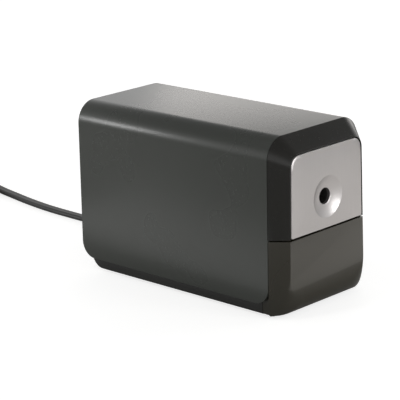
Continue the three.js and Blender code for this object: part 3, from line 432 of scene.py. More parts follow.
def combine(piece, other, operation):
    """Joins the other piece to this one, or cuts it away, and uses it up."""
    tool = piece.modifiers.new("tool", "BOOLEAN")
    tool.object = other
    tool.operation = operation
    tool.solver = "EXACT"
    settle(piece)
    bpy.data.objects.remove(other)


def turned(name, profile, centre, axis, material, count=48):
    """A turned piece from a profile of (radius, place along the axis)."""
    rings = []
    for radius, at in profile:
        ring = []
        for i in range(count):
            angle = 2 * math.pi * i / count
            u, v = centre[0] + radius * math.cos(angle), centre[1] + radius * math.sin(angle)
            ring.append({"X": (at, u, v), "Y": (u, at, v), "Z": (u, v, at)}[axis])
        rings.append(ring)
    return skin(name, rings, material)


def cylinder(name, centre, axis, radius, low, high, material, count=48):
    """A plain rod, used to cut holes and to raise bosses."""
    return turned(name, [(radius, low), (radius, high)], centre, axis, material, count)


brass = brass_finish()
for i in (1, 2):
    blade = refined(f"plug_blade_{i}", 0.0004, brass)
    low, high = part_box(f"plug_blade_{i}")
    hole_place = (low.y + 0.0042, (low.z + high.z) / 2)
    hole = cylinder("hole", hole_place, "X", 0.0015, low.x - 0.001, high.x + 0.001, brass)
    combine(blade, hole, "DIFFERENCE")
    shade(blade, 35)


# Strain relief: a soft rubber bush that grips the cord where it leaves the rear panel. Its tail
# tapers and is slotted from both sides in turn, so that it bends little by little.
def rubber_finish():
    finish = Finish("rubber")
    speckle = finish.noise(1500, 3)
    bloom = finish.step(finish.noise(90, 3), 0.5, 0.8)
    return finish.set(
        Base_Color=finish.mix(bloom, (0.018, 0.018, 0.018), (0.040, 0.040, 0.038)),
        Roughness=0.72 + 0.16 * speckle, Normal=finish.bump(speckle, 0.00005, 0.7))


rubber = rubber_finish()
relief_rear = relief_high.y
relief_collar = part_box("base_housing")[1].y
relief_steps = [
    (relief_low.y, 0.0050), (relief_low.y + 0.0003, 0.0056), (relief_low.y + 0.0014, 0.0056),
    (relief_low.y + 0.0017, 0.0042), (relief_collar + 0.0004, 0.0042), (relief_collar + 0.0005, 0.0058),
    (relief_collar + 0.0009, 0.0062), (relief_collar + 0.0020, 0.0062), (relief_collar + 0.0025, 0.0058),
    (relief_collar + 0.0032, 0.0049),
]
relief_rings = []


def relief_ring(y, radius, share):
    """Round at the collar, and as flat as the cord at the tail."""
    wide = radius * (1 - share) + 0.0046 * share
    thick = radius * (1 - share) + 0.0027 * share
    return rounded_ring(cord_exit[0], y, cord_exit[2], wide, thick, 2 + 0.6 * share, 40)


for y, radius in relief_steps:
    relief_rings.append(relief_ring(y, radius, 0))
tail_start = relief_collar + 0.0036
tail_ribs = 7
for i in range(tail_ribs * 6):
    share = i / (tail_ribs * 6 - 1)
    groove = 0.0007 if i % 6 in (3, 4) and i < tail_ribs * 6 - 2 else 0
    y = tail_start + share * (relief_rear - tail_start)
    relief_rings.append(relief_ring(y, 0.0049 - 0.0006 * share - groove, share))
strain_relief = skin("cord_strain_relief_visual", relief_rings, rubber, smooth=40)
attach(strain_relief, "root")
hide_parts("cord_strain_relief")

cord_tie = refined("cord_tie", 0.0003, rubber)


# Base: a black ABS tub, moulded in one piece, with a smooth outside and drafted long edges. It
# carries the motor and the gear case, and the cover drops over it.
def middle_of(name, *axes):
    low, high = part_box(name)
    return tuple((low[axis] + high[axis]) / 2 for axis in axes)


def arch(bottom, inset_side, inset_top, radius, arc_steps=14):
    """Points (x, z) up the right side, over the top and down the left side of the body's outline."""
    low = half_width_at(bottom) - inset_side
    high = half_width_at(body_top) - inset_side
    top = body_top - inset_top
    right = [(low, bottom)]
    for i in range(arc_steps + 1):
        angle = math.pi / 2 * i / arc_steps
        right.append((high - radius + radius * math.cos(angle), top - radius + radius * math.sin(angle)))
    return right + [(-x, z) for x, z in reversed(right)]


def half_width_at(z):
    return body_half - cover_draft * (z - cover_low.z)


def prism(name, outline, axis, low, high, material, smooth=30):
    """A solid with a flat outline of two coordinates, from low to high along an axis."""
    order = {"X": lambda u, v, w: (w, u, v), "Y": lambda u, v, w: (u, w, v), "Z": lambda u, v, w: (u, v, w)}
    rings = [[order[axis](u, v, w) for u, v in outline] for w in (low, high)]
    return skin(name, rings, material, smooth=smooth)


def oblong(u0, u1, v0, v1, radii, steps=8):
    """A rectangle with rounded corners: radii are those at low-low, high-low, high-high, low-high."""
    corners = [(u0, v0, 1, 1, 180), (u1, v0, -1, 1, 270), (u1, v1, -1, -1, 0), (u0, v1, 1, -1, 90)]
    points = []
    for (u, v, du, dv, start), radius in zip(corners, radii):
        for i in range(steps + 1 if radius else 1):
            angle = math.radians(start + 90 * i / steps)
            points.append((u + du * radius + radius * math.cos(angle),
                           v + dv * radius + radius * math.sin(angle)))
    return points


def block(name, x0, x1, y0, y1, z0, z1, material, corner=0.0, axis="Z"):
    """A box with rounded corners round one axis."""
    spans = {"X": (y0, y1, z0, z1, x0, x1), "Y": (x0, x1, z0, z1, y0, y1), "Z": (x0, x1, y0, y1, z0, z1)}
    u0, u1, v0, v1, low, high = spans[axis]
    return prism(name, oblong(u0, u1, v0, v1, (corner,) * 4), axis, low, high, material)


def black_abs():
    finish = Finish("base_plastic")
    grain = finish.noise(2400, 2)
    flow = finish.noise(30, 2)
    scuffs = finish.step(finish.noise(260, 5, finish.stretched(1, 5, 1)), 0.62, 0.7)
    return finish.set(
        Base_Color=finish.mix(flow, (0.016, 0.016, 0.015), (0.024, 0.024, 0.022)),
        Roughness=0.42 + 0.1 * flow + 0.14 * scuffs, Normal=finish.bump(grain, 0.00005, 0.5))


cover_low, cover_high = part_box("top_cover")
base_low, base_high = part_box("base_housing")
body_half = cover_high.x
body_top = cover_high.z
cover_draft = 0.011
base_edge = 0.001
base_rear_radius = 0.0097
base_wall = 0.0022
base_floor = base_low.z + 0.0033
base_rim = 0.012
base_plastic = black_abs()
base = prism("base_housing_visual",
             oblong(base_low.y, base_high.y, base_low.z, base_rim, (0, base_rear_radius, 0, 0), 12),
             "X", base_low.x, base_high.x, base_plastic)
combine(base, block("section", base_low.x, base_high.x, base_low.y - 0.001, base_high.y + 0.001,
                    base_low.z, base_rim + 0.02, base_plastic, base_edge, "Y"), "INTERSECT")
combine(base, block("inside", base_low.x + base_wall, base_high.x - base_wall, base_low.y - 0.001,
                    base_high.y - 0.0025, base_floor, base_rim + 0.001, base_plastic), "DIFFERENCE")
for y in (0.0315, -0.0085, 0.0555):
    rib = block("rib", base_low.x + 0.0012, base_high.x - 0.0012, y - 0.0007, y + 0.0007,
                base_floor - 0.001, base_floor + 0.0012, base_plastic)
    combine(base, rib, "UNION")
for i in range(1, 5):
    screw_place = middle_of(f"base_screw_{i}", 0, 1)
    recess_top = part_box(f"base_screw_{i}")[0].z + 0.0029
    boss = cylinder("boss", screw_place, "Z", 0.0042, base_floor - 0.001, base_floor + 0.0036, base_plastic)
    combine(base, boss, "UNION")
    combine(base, cylinder("recess", screw_place, "Z", 0.0034, 0, recess_top, base_plastic), "DIFFERENCE")
    combine(base, cylinder("hole", screw_place, "Z", 0.0018, 0, 0.02, base_plastic, 24), "DIFFERENCE")
    foot_place = middle_of(f"rubber_foot_{i}", 0, 1)
    combine(base, cylinder("hole", foot_place, "Z", 0.0025, 0, 0.02, base_plastic, 24), "DIFFERENCE")
round_over(base, 0.00025, 2)
shade(base)
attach(base, "root")
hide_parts("base_housing")


# Feet and screws: four rubber feet pushed into holes in the base, and four self-tapping screws
# of blackened steel, which come up through the base into the cover's bosses.
def blackened_steel():
    finish = Finish("dark_steel")
    grain = finish.noise(900, 4)
    rub = finish.step(finish.noise(240, 4), 0.5, 0.72)
    return finish.set(
        Base_Color=finish.mix(rub, (0.10, 0.10, 0.105), (0.20, 0.20, 0.205)), Metallic=1.0,
        Roughness=0.34 + 0.2 * grain - 0.08 * rub, Normal=finish.bump(grain, 0.00003, 0.5))


dark_steel = blackened_steel()
for i in range(1, 5):
    foot_low, foot_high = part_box(f"rubber_foot_{i}")
    half = (foot_high.x - foot_low.x) / 2
    profile = [(0.0002, 0.0001), (half - 0.0014, 0.0001), (half - 0.0012, 0.0), (half - 0.0005, 0.00015),
               (half - 0.0001, 0.0005), (half, 0.0007), (half - 0.0001, 0.0011), (half - 0.0004, 0.0013),
               (0.0022, 0.0013), (0.0022, 0.0040), (0.0020, foot_high.z), (0.0002, foot_high.z)]
    foot = turned(f"rubber_foot_{i}_visual", profile, middle_of(f"rubber_foot_{i}", 0, 1), "Z", rubber)
    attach(foot, "root")
    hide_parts(f"rubber_foot_{i}")
    refined(f"base_screw_{i}", 0.00015, dark_steel, 2)


# Gear case: an ivory acetal front frame that holds the ring gear, and two steel plates behind it
# on brass spacers. The plates are stamped, with a brushed face and slightly rolled edges.
def acetal(name, pale, deep):
    finish = Finish(name)
    cloud = finish.noise(45, 3)
    grain = finish.noise(1800, 2)
    grime = finish.step(finish.noise(140, 5), 0.58, 0.8)
    body = finish.mix(cloud, pale, deep)
    return finish.set(
        Base_Color=finish.mix(grime * 0.35, body, (0.16, 0.14, 0.12)),
        Roughness=0.40 + 0.12 * cloud + 0.2 * grime, Normal=finish.bump(grain, 0.00003, 0.4))


def ground_steel():
    finish = Finish("steel")
    lines = finish.noise(1500, 3, finish.stretched(0.05, 1, 1))
    stain = finish.step(finish.noise(60, 4), 0.5, 0.8)
    return finish.set(
        Base_Color=finish.mix(stain, (0.50, 0.51, 0.52), (0.34, 0.33, 0.32)), Metallic=1.0,
        Roughness=0.24 + 0.2 * lines + 0.08 * stain, Normal=finish.bump(lines, 0.00003, 0.5))


frame_acetal = acetal("frame_plastic", (0.62, 0.58, 0.50), (0.56, 0.52, 0.43))
nylon = acetal("nylon", (0.78, 0.76, 0.69), (0.70, 0.68, 0.60))
steel = ground_steel()
refined("front_frame", 0.0004, frame_acetal)
refined("ring_gear", 0.0001, frame_acetal, 2)
refined("gear_plate", 0.0002, steel, 2)
refined("motor_plate", 0.0002, steel, 2)
for i in range(1, 5):
    refined(f"gearbox_spacer_{i}", 0.0003, brass)


# Cutter: one hardened steel cutter with spiral teeth, which turns on a pin as the carrier takes
# it round the pencil's point. A brass pinion on its front end rolls inside the ring gear.
refined("helical_cutter", 0.00005, steel, 1)
refined("cutter_pinion", 0.00012, brass, 2)
refined("cutter_pin", 0.0003, steel)
refined("cutter_carrier", 0.0004, dark_steel)


# Gear train: a nylon drive gear on the carrier's shaft, a nylon intermediate gear on its own
# steel shaft, and a brass pinion on the motor's shaft.
refined("drive_gear", 0.00015, nylon, 2)
refined("intermediate_gear", 0.00015, nylon, 2)
refined("intermediate_shaft", 0.0003, steel)
refined("motor_pinion", 0.0001, brass, 2)


# Motor: a shaded-pole motor. A stack of steel sheets holds a coil of enamelled wire on a nylon
# bobbin and two copper shading rings, and a cast rotor turns in bushes in two steel brackets.
def laminations():
    finish = Finish("dark_steel_laminated")
    lines = finish.node("ShaderNodeTexWave", {"wave_type": "BANDS", "bands_direction": "Y"},
                        {"Vector": finish.place, "Scale": 320.0, "Distortion": 0.4}, "Fac")
    rust = finish.step(finish.noise(180, 5), 0.5, 0.75)
    return finish.set(
        Base_Color=finish.mix(rust * 0.6, (0.13, 0.13, 0.135), (0.12, 0.07, 0.045)),
        Metallic=1.0 - rust * 0.6, Roughness=0.42 + 0.2 * rust, Normal=finish.bump(lines, 0.00012, 0.8))


def enamelled_wire(name, direction):
    finish = Finish(name)
    # Wave bands for the wire's turns. They make the bump, and they also make the colour darker in the
    # grooves between turns, which is painted shade.
    turns = finish.node("ShaderNodeTexWave", {"wave_type": "BANDS", "bands_direction": direction},
                        {"Vector": finish.place, "Scale": 400.0, "Distortion": 0.6, "Detail": 1.0}, "Fac")
    return finish.set(
        # Base colour: darker in the grooves between the turns, painted shade.
        Base_Color=finish.mix(turns, (0.22, 0.07, 0.025), (0.52, 0.22, 0.08)), Metallic=0.8,
        Roughness=0.25 + 0.15 * (1 - turns), Normal=finish.bump(turns, 0.0002, 0.9))


def bare_copper():
    finish = Finish("copper")
    tarnish = finish.step(finish.noise(200, 4), 0.4, 0.75)
    return finish.set(
        Base_Color=finish.mix(tarnish, (0.62, 0.28, 0.15), (0.26, 0.12, 0.07)), Metallic=1.0,
        Roughness=0.3 + 0.25 * tarnish, Normal=finish.bump(tarnish, 0.00003, 0.4))


copper = bare_copper()
refined("stator_stack", 0.0002, laminations(), 2)
refined("coil_bobbin", 0.0002, nylon, 2)
refined("stator_coil", 0.0012, enamelled_wire("copper_wire", "X"), 4)
refined("rotor", 0.0004, steel)
refined("rotor_shaft", 0.0003, steel)
for i in (1, 2):
    refined(f"shading_ring_{i}", 0.0003, copper)
    refined(f"motor_screw_{i}", 0.0003, dark_steel)
for end in ("front", "rear"):
    refined(f"{end}_motor_bracket", 0.0003, steel)
    refined(f"{end}_motor_bracket_bush", 0.0002, brass, 2)
refined("cooling_fan", 0.0003, base_plastic)


# Switches: a black lever behind the pencil hole turns on a steel pin, with a torsion spring, and
# pushes the start switch's button. A plunger behind the receptacle works the interlock switch.
refined("sensing_lever", 0.0002, base_plastic, 2)
refined("lever_pin", 0.0002, steel, 2)
refined("start_switch", 0.0004, base_plastic)
refined("start_switch_button", 0.0002, nylon, 2)
refined("interlock_switch", 0.0004, base_plastic)
refined("interlock_plunger", 0.0003, nylon)
spring_low, spring_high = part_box("lever_spring")
spring_y, spring_z = middle_of("lever_spring", 1, 2)
wire_radius = 0.0002
spring_radius = (spring_high.y - spring_low.y) / 2 - wire_radius
spring_length = spring_high.x - spring_low.x - 2 * wire_radius
turn_steps = 16
spring_steps = 3 * turn_steps
spring_points = []
for i in range(spring_steps + 1):
    angle = 2 * math.pi * i / turn_steps
    spring_points.append(Vector((spring_low.x + wire_radius + spring_length * i / spring_steps,
                                 spring_y + spring_radius * math.cos(angle),
                                 spring_z + spring_radius * math.sin(angle))))
spring_rings = []
for i, place in enumerate(spring_points):
    along = heading(spring_points, i)
    out = Vector((0, place.y - spring_y, place.z - spring_z)).normalized()
    side = along.cross(out)
    spring_rings.append([place + wire_radius * (out * math.cos(a) + side * math.sin(a))
                         for a in (2 * math.pi * k / 8 for k in range(8))])
lever_spring = skin("lever_spring_visual", spring_rings, steel, smooth=60)
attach(lever_spring, "root")
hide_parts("lever_spring")


# Pencil guide: a black moulded sleeve behind the hole, which keeps the pencil on the cutter's
# axis. It is slotted on top, where the lever comes in.
refined("pencil_guide", 0.0003, base_plastic)


# Shavings receptacle: a smoke-tinted polystyrene drawer. Its front follows the bezel's bevels
# and curves under at the bottom, and a square tray behind it catches the shavings.
def smoke_styrene():
    finish = Finish("smoke_plastic")
    cloud = finish.noise(24, 2)
    swirl = finish.noise(70, 3, finish.stretched(1, 1, 3))
    return finish.set(
        Base_Color=finish.mix(cloud, (0.021, 0.0185, 0.0115), (0.026, 0.023, 0.015)),
        Roughness=0.22 + 0.06 * swirl, Coat_Weight=0.35, Normal=finish.bump(swirl, 0.00004, 0.15))


bezel_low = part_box("front_bezel")[0]
drawer_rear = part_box("shavings_receptacle")[1].y
front = bezel_low.y
bevel_depth = cover_low.y - front
bevel_side = 0.0075
bevel_top = 0.0089
seam = bezel_low.z
touching_gap = 0.0003
drawer_wall = 0.0018
drawer_top = seam - 0.0008
drawer_bottom = base_low.z
nose_height = 0.0105
nose_depth = 0.007
front_corner = 0.011
rear_corner = 0.002
smoke = smoke_styrene()


def drawer_outline(depth, inset, steps=10):
    """The drawer front's outline (x, z) at a depth behind its face."""
    share = 1 - depth / bevel_depth
    nose = max(0.0, 1 - depth / nose_depth)
    bottom = drawer_bottom + nose_height * (1 - math.sqrt(1 - nose * nose)) + inset
    side = bevel_side * share + inset
    top = drawer_top - inset
    low = half_width_at(bottom) - side
    high = half_width_at(top) - side
    radius = share * front_corner + (1 - share) * rear_corner - inset
    right = [(high, top)]
    for i in range(steps + 1):
        angle = -math.pi / 2 * i / steps
        right.append((low - radius + radius * math.cos(angle), bottom + radius + radius * math.sin(angle)))
    return right + [(-x, z) for x, z in reversed(right)]


drawer_depth = bevel_depth - touching_gap
drawer_stations = [0.5 - 0.5 * math.cos(math.pi * i / 24) for i in range(13)] + [0.6, 0.72, 0.86, 1]
outer_rings = [[(x, front + share * drawer_depth, z) for x, z in drawer_outline(share * drawer_depth, 0)]
               for share in drawer_stations]
drawer = skin("shavings_receptacle_visual", outer_rings, smoke, smooth=25)
round_over(drawer, 0.00035, 4, 32)
cavity_depth = drawer_depth - drawer_wall
cavity_rings = [[(x, front + max(share * cavity_depth, drawer_wall), z)
                 for x, z in drawer_outline(share * cavity_depth, drawer_wall, 6)]
                for share in (0.24, 0.36, 0.5, 0.7, 1)]
combine(drawer, skin("cavity", cavity_rings, smoke), "DIFFERENCE")
tray_half = body_half - 0.009
tray_floor = base_floor + 0.0005
tray_front = front + cavity_depth
tray_rim = seam - 0.0068
tray = block("tray", -tray_half, tray_half, tray_front, drawer_rear, tray_floor, tray_rim, smoke, 0.0025)
combine(drawer, tray, "UNION")
skirt_half = base_high.x
skirt_end = base_low.y - touching_gap
skirt = block("skirt", -skirt_half, skirt_half, tray_front + 0.0006, skirt_end, drawer_bottom + 0.0001,
              cover_low.z + 0.012, smoke, base_edge, "Y")
combine(skirt, block("hollow", -skirt_half + drawer_wall, skirt_half - drawer_wall, tray_front + 0.0018,
                     skirt_end + 0.001, tray_floor, 0.1, smoke), "DIFFERENCE")
combine(drawer, skirt, "UNION")
inner_half = tray_half - drawer_wall
combine(drawer, block("inside", -inner_half, inner_half, tray_front - 0.0022, drawer_rear - drawer_wall,
                      tray_floor + drawer_wall, drawer_top - drawer_wall, smoke, 0.002), "DIFFERENCE")
shade(drawer, 25)
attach(drawer, "receptacle")
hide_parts("shavings_receptacle")


# Rear panel: a black moulded plate inside the cover's rear edge, with a grille of upright slots
# for the motor's air and the hole for the cord.
def black_trim():
    finish = Finish("trim_plastic")
    flow = finish.noise(26, 2)
    grain = finish.noise(1400, 3)
    dust = finish.step(finish.noise(700, 5), 0.63, 0.75)
    colour = finish.mix(flow, (0.0095, 0.0091, 0.0076), (0.014, 0.0135, 0.0112))
    return finish.set(
        Base_Color=finish.mix(dust * 0.1, colour, (0.06, 0.06, 0.055)),
        Roughness=0.23 + 0.04 * flow + 0.06 * dust, Normal=finish.bump(grain, 0.00003, 0.3))


trim = black_trim()
cover_wall = 0.0018
cover_corner = 0.0125
panel_low, panel_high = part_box("rear_panel")
panel_inset = cover_wall + touching_gap
panel = prism("rear_panel_visual", arch(panel_low.z, panel_inset, panel_inset, cover_corner - panel_inset),
              "Y", panel_low.y, panel_high.y, trim)
round_over(panel, 0.0005, 3)
slot_pitch = 0.005
slot_count = 9
for i in range(slot_count):
    x = (i - (slot_count - 1) / 2) * slot_pitch
    slot = block("slot", x - 0.0012, x + 0.0012, panel_low.y - 0.001, panel_high.y + 0.001, 0.044, 0.078,
                 trim, 0.00115, "Y")
    combine(panel, slot, "DIFFERENCE")
combine(panel, cylinder("hole", (cord_exit[0], cord_exit[2]), "Y", 0.0045, panel_low.y - 0.001,
                        panel_high.y + 0.001, trim), "DIFFERENCE")
shade(panel)
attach(panel, "root")
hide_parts("rear_panel")


# Cover: one thin ABS moulding that makes both sides and the top. Its skin has a fine spark
# texture, and four bosses inside take the base's screws.
def textured_abs():
    finish = Finish("cover_plastic")
    spark = finish.noise(2600, 3, rough=0.6)
    flow = finish.noise(14, 2)
    dust = finish.step(finish.noise(520, 6), 0.62, 0.74)
    return finish.set(
        Base_Color=finish.mix(dust * 0.03, (0.050, 0.054, 0.048), (0.12, 0.12, 0.11)),
        Roughness=0.27 + 0.01 * flow + 0.05 * dust, Normal=finish.bump(spark, 0.00005, 0.35))


cover_plastic = textured_abs()
end_radius = 0.0095


def cover_contour(inset):
    """The cover's section, with close points where the sides' lower corners are round."""
    points = []
    low, high = half_width_at(cover_low.z) - inset, half_width_at(body_top) - inset
    straight_end = body_top - inset - (cover_corner - inset)
    for i in range(13):
        z = cover_low.z + end_radius * (1 - math.cos(math.pi / 2 * i / 12))
        share = (z - cover_low.z) / (straight_end - cover_low.z)
        points.append((low + (high - low) * share, z))
    radius = cover_corner - inset
    for i in range(25):
        angle = math.pi / 2 * i / 24
        points.append((high - radius + radius * math.cos(angle),
                       body_top - inset - radius + radius * math.sin(angle)))
    return points + [(-x, z) for x, z in reversed(points)]


cover_rings = []
for (x, z), (inner_x, inner_z) in zip(cover_contour(0), cover_contour(cover_wall)):
    below = max(0.0, 1 - (z - cover_low.z) / end_radius)
    setback = end_radius * (1 - math.sqrt(1 - below * below))
    y0, y1 = cover_low.y + setback, cover_high.y - setback
    cover_rings.append([(x, y0, z), (x, y1, z), (inner_x, y1, inner_z), (inner_x, y0, inner_z)])
cover = skin("top_cover_visual", cover_rings, cover_plastic, smooth=25)
round_over(cover, 0.0004, 4, 40)
shade(cover, 30)
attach(cover, "root")
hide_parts("top_cover")
boss_top = base_rim + 0.011
for i in range(1, 5):
    screw_place = middle_of(f"base_screw_{i}", 0, 1)
    profile = [
        (0.0018, base_floor + 0.004), (0.003, base_floor + 0.004), (0.003, boss_top - 0.0003),
        (0.0027, boss_top), (0.0002, boss_top), (0.0002, boss_top - 0.002), (0.0018, boss_top - 0.002),
    ]
    boss = turned(f"cover_boss_{i}", profile + profile[:1], screw_place, "Z", cover_plastic, 32)
    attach(boss, "root")


# Bezel: a black frame of glossy ABS round the face plate, with flat bevels on three sides. A
# tongue behind it slides inside the cover's front edge, and the plate sits in its recess.
def swept_frame(name, section, bottom, material):
    """A section of (side inset, top inset, radius, y) points carried round the body's outline."""
    contours = []
    for side, top, radius, y in section:
        contours.append([(x, y, z) for x, z in arch(bottom, side, top, radius, 20)])
    return skin(name, list(zip(*contours)), material)


plate_low, plate_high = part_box("face_plate")
plate_side = bevel_side + 0.0005
plate_top = bevel_top + 0.0005
plate_corner = 0.007
plate_depth = 0.002
recess_floor = front + plate_depth + touching_gap
bezel_rear = cover_low.y - touching_gap
tongue = cover_wall + touching_gap
cavity_front = front + plate_depth + 0.0026
rim = touching_gap
bezel_section = [
    (plate_side - rim, plate_top - rim, plate_corner - 0.0002, recess_floor),
    (plate_side - rim, plate_top - rim, plate_corner - 0.0002, front + 0.0002),
    (plate_side - rim - 0.0001, plate_top - rim - 0.0001, plate_corner - 0.0001, front),
    (bevel_side, bevel_top, plate_corner, front),
    (0, 0, cover_corner, bezel_rear),
    (tongue, tongue, cover_corner - tongue, bezel_rear),
    (tongue, tongue, cover_corner - tongue, bezel_rear + 0.004),
    (tongue + 0.0015, tongue + 0.0015, cover_corner - tongue - 0.0015, bezel_rear + 0.004),
    (tongue + 0.0015, tongue + 0.0015, cover_corner - tongue - 0.0015, bezel_rear - 0.001),
    (plate_side + 0.002, plate_top + 0.002, plate_corner - 0.0025, cavity_front),
    (plate_side + 0.002, plate_top + 0.002, plate_corner - 0.0025, recess_floor),
]
bezel = swept_frame("front_bezel_visual", bezel_section, seam, trim)
round_over(bezel, 0.0003, 3, 32)
shade(bezel, 30)
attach(bezel, "root")
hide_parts("front_bezel")


# Face plate: pressed from sheet, slightly crowned, with a dish that leads the pencil to the
# hole. It is sprayed satin silver.
def silver_paint():
    finish = Finish("silver_face")
    flake = finish.noise(3200, 2)
    peel = finish.noise(420, 2)
    brush = finish.noise(900, 3, finish.stretched(1, 1, 0.06))
    tone = finish.noise(18, 2)
    colour = finish.mix(tone, (0.36, 0.346, 0.342), (0.48, 0.46, 0.455))
    return finish.set(
        Base_Color=finish.mix(flake * 0.25 + brush * 0.2, colour, (0.33, 0.32, 0.318)), Metallic=0.8,
        Roughness=0.27 + 0.12 * brush + 0.05 * flake, Normal=finish.bump(peel + 0.5 * brush, 0.00006, 0.35))


silver = silver_paint()
pencil_z = middle_of("ring_gear", 2)[0]
hole_radius = 0.00447
dish_radius = 0.0121
dish_depth = 0.0024
plate_crown = front - plate_low.y
plate_bottom = plate_low.z
plate_gap = touching_gap
plate_count = 192
plate_angles = [-math.pi / 2 + 2 * math.pi * (i + 0.5) / plate_count for i in range(plate_count)]


def plate_outline(inset):
    """The plate's outline, closed along the bottom with small rounded corners, as many points."""
    half = arch(plate_bottom, plate_side + plate_gap + inset, plate_top + plate_gap + inset,
                plate_corner - plate_gap - 0.0005 - inset, 12)
    right, left = half[:len(half) // 2], half[len(half) // 2:]
    corner = 0.0006
    foot_x = right[0][0]
    foot = [(foot_x - corner + corner * math.cos(a), plate_bottom + inset + corner + corner * math.sin(a))
            for a in (math.radians(-90 + 30 * k) for k in range(4))]
    return [*foot, *right[1:], *left[:-1], *[(-x, z) for x, z in reversed(foot)]]


def spread(outline):
    """The closed outline as seen from the pencil's axis, at even angles."""
    made = []
    for angle in plate_angles:
        direction = (math.cos(angle), math.sin(angle))
        best = None
        for (x0, z0), (x1, z1) in zip(outline, outline[1:] + outline[:1]):
            ax, az, bx, bz = x0, z0 - pencil_z, x1 - x0, z1 - z0
            across = direction[0] * bz - direction[1] * bx
            if abs(across) < 1e-12:
                continue
            reach = (ax * bz - az * bx) / across
            share = (ax * direction[1] - az * direction[0]) / across
            if reach > 0 and -1e-6 <= share <= 1 + 1e-6:
                best = reach if best is None else max(best, reach)
        made.append((best * direction[0], pencil_z + best * direction[1]))
    return made


plate_middle = (plate_bottom + body_top - bevel_top) / 2
plate_half = plate_high.x
plate_rise = plate_high.z - plate_middle


def plate_face(x, z):
    """The plate's crowned front."""
    out = max(abs(x) / plate_half, abs(z - plate_middle) / plate_rise)
    soft = ((abs(x) / plate_half) ** 4 + (abs(z - plate_middle) / plate_rise) ** 4) ** 0.25
    scale = min(1.0, 0.5 * out + 0.5 * soft)
    return front - plate_crown * (1 - scale * scale)


edge_outline = spread(plate_outline(0))
plate_rings = []


def circle(radius):
    return [(radius * math.cos(a), pencil_z + radius * math.sin(a)) for a in plate_angles]


dish_floor = plate_low.y + dish_depth
plate_rear = front + plate_depth
boss_rear = front + dish_depth + 0.0011
boss_radius = dish_radius + 0.0009
plate_rings.append([(x, boss_rear, z) for x, z in circle(hole_radius)])
plate_rings.append([(x, dish_floor + 0.0004, z) for x, z in circle(hole_radius)])
plate_rings.append([(x, dish_floor + 0.0001, z) for x, z in circle(hole_radius + 0.0001)])
for i in range(13):
    share = i / 12
    radius = hole_radius + 0.0003 + (dish_radius - hole_radius - 0.0003) * share
    lift = dish_depth * (0.45 * share + 0.55 * share * share)
    plate_rings.append([(x, dish_floor - lift * (dish_floor - plate_face(x, z)) / dish_depth, z)
                        for x, z in circle(radius)])
for radius in (dish_radius + 0.0003, dish_radius + 0.0009, dish_radius + 0.002):
    lip = 0.00006 if radius < dish_radius + 0.0005 else 0
    plate_rings.append([(x, plate_face(x, z) + lip, z) for x, z in circle(radius)])
for i in range(1, 11):
    share = i / 10
    ring = []
    for (x0, z0), (x1, z1) in zip(circle(dish_radius + 0.002), edge_outline):
        x, z = x0 + (x1 - x0) * share * 0.985, z0 + (z1 - z0) * share * 0.985
        ring.append((x, plate_face(x, z), z))
    plate_rings.append(ring)
edge_round = 0.00045
for k in range(1, 6):
    angle = math.pi / 2 * k / 5
    inward = edge_round * (1 - math.sin(angle))
    ring = []
    for x, z in edge_outline:
        reach = math.hypot(x, z - pencil_z)
        keep = (reach - inward) / reach
        ring.append((x * keep, front + edge_round * (1 - math.cos(angle)),
                     pencil_z + (z - pencil_z) * keep))
    plate_rings.append(ring)
plate_rings.append([(x, plate_rear, z) for x, z in edge_outline])
plate_rings.append([(x, plate_rear, z) for x, z in circle(boss_radius)])
plate_rings.append([(x, boss_rear, z) for x, z in circle(boss_radius)])
plate_rings.append(plate_rings[0])
face_plate = skin("face_plate_visual", plate_rings, silver, capped=False, smooth=40)
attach(face_plate, "root")
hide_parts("face_plate")


# Studio: a pale table, grey in the light that it gives back and white to the camera, with a faint
# shadow of the sharpener. The surround is grey and brighter near the horizon, and soft panels
# light it from behind, beside and in front.
table = Finish("table")
table.set(Base_Color=(0.50, 0.50, 0.49), Roughness=0.7)
plain_table = Wire(table.tree, table.shader.outputs[0])
seen = table.node("ShaderNodeLightPath", {}, {}, "Is Camera Ray")
glow = table.node("ShaderNodeEmission", {}, {"Color": (1, 1, 1, 1), "Strength": 0.76})
white_table = table.node("ShaderNodeAddShader", {}, {0: plain_table, 1: glow})
shown_table = table.node("ShaderNodeMixShader", {}, {0: seen, 1: plain_table, 2: white_table})
connect(table.tree, table.tree.nodes["Material Output"].inputs["Surface"], shown_table)
table_half = 6
floor = mesh_piece("table", [(-table_half, -table_half, 0), (table_half, -table_half, 0),
                             (table_half, table_half, 0), (-table_half, table_half, 0)],
                   [(0, 1, 2, 3)], table.material)

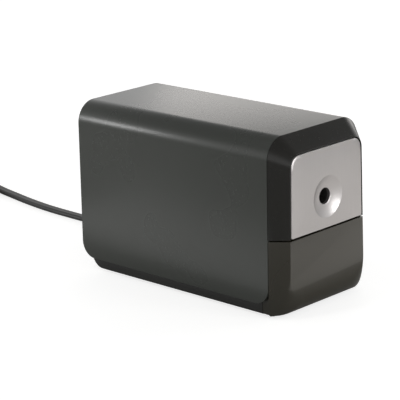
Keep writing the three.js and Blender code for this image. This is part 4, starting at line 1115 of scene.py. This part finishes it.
world = bpy.data.worlds.new("studio")
world.use_nodes = True
bpy.context.scene.world = world
sky = Nodes(world.node_tree)
background = sky.tree.nodes["Background"]
background.inputs["Strength"].default_value = 0.95
around = sky.node("ShaderNodeTexCoord", {}, {}, "Generated")
height = sky.node("ShaderNodeSeparateXYZ", {}, {0: around}, "Z")
greys = [(at, (grey, grey, grey)) for at, grey in [(0.0, 1.0), (0.30, 0.95), (0.55, 0.30), (1.0, 0.22)]]
connect(sky.tree, background.inputs["Color"], sky.node("ShaderNodeValToRGB", {"stops": greys}, {0: height}))


def softbox(name, place, target, width, height, radiance, tint=(1, 1, 1)):
    """A rectangular lamp of a given brightness, which the camera doesn't see."""
    light = bpy.data.lights.new(name, "AREA")
    light.shape = "RECTANGLE"
    light.size = width
    light.size_y = height
    light.energy = radiance * math.pi * width * height
    light.color = tint
    lamp = bpy.data.objects.new(name, light)
    aim = (Vector(target) - Vector(place)).to_track_quat("-Z", "Y")
    lamp.matrix_world = Matrix.Translation(place) @ aim.to_matrix().to_4x4()
    lamp.visible_camera = False
    bpy.context.scene.collection.objects.link(lamp)


softbox("rear_lamp", (1.25, 0.62, 0.42), (0, 0, 0.08), 1.1, 0.55, 0.85, (1, 0.94, 0.89))
softbox("rear_left_lamp", (-0.42, 0.54, 0.20), (-0.03, 0.05, 0.09), 0.14, 0.11, 11.0)
softbox("key_lamp", (0.36, -1.26, 0.24), (0, -0.08, 0.06), 0.44, 0.40, 9.0)
softbox("low_lamp", (0.16, -0.22, 0.004), (0.16, -0.22, 1), 0.44, 0.24, 0.62, (1, 0.96, 0.92))
softbox("front_edge_lamp", (0.0, -0.55, 0.02), (0, -0.08, 0.07), 0.22, 0.08, 3.0)
softbox("right_edge_lamp", (0.95, -0.70, 0.62), (0, -0.08, 0.07), 0.20, 0.20, 8.0)
softbox("left_low_lamp", (-0.12, 0.05, 0.004), (-0.12, 0.05, 1), 0.10, 0.26, 0.6)
softbox("overhead_lamp", (-0.55, 0.15, 1.25), (0, 0, 0.1), 0.12, 0.12, 36)
bpy.context.scene.view_settings.view_transform = "Standard"
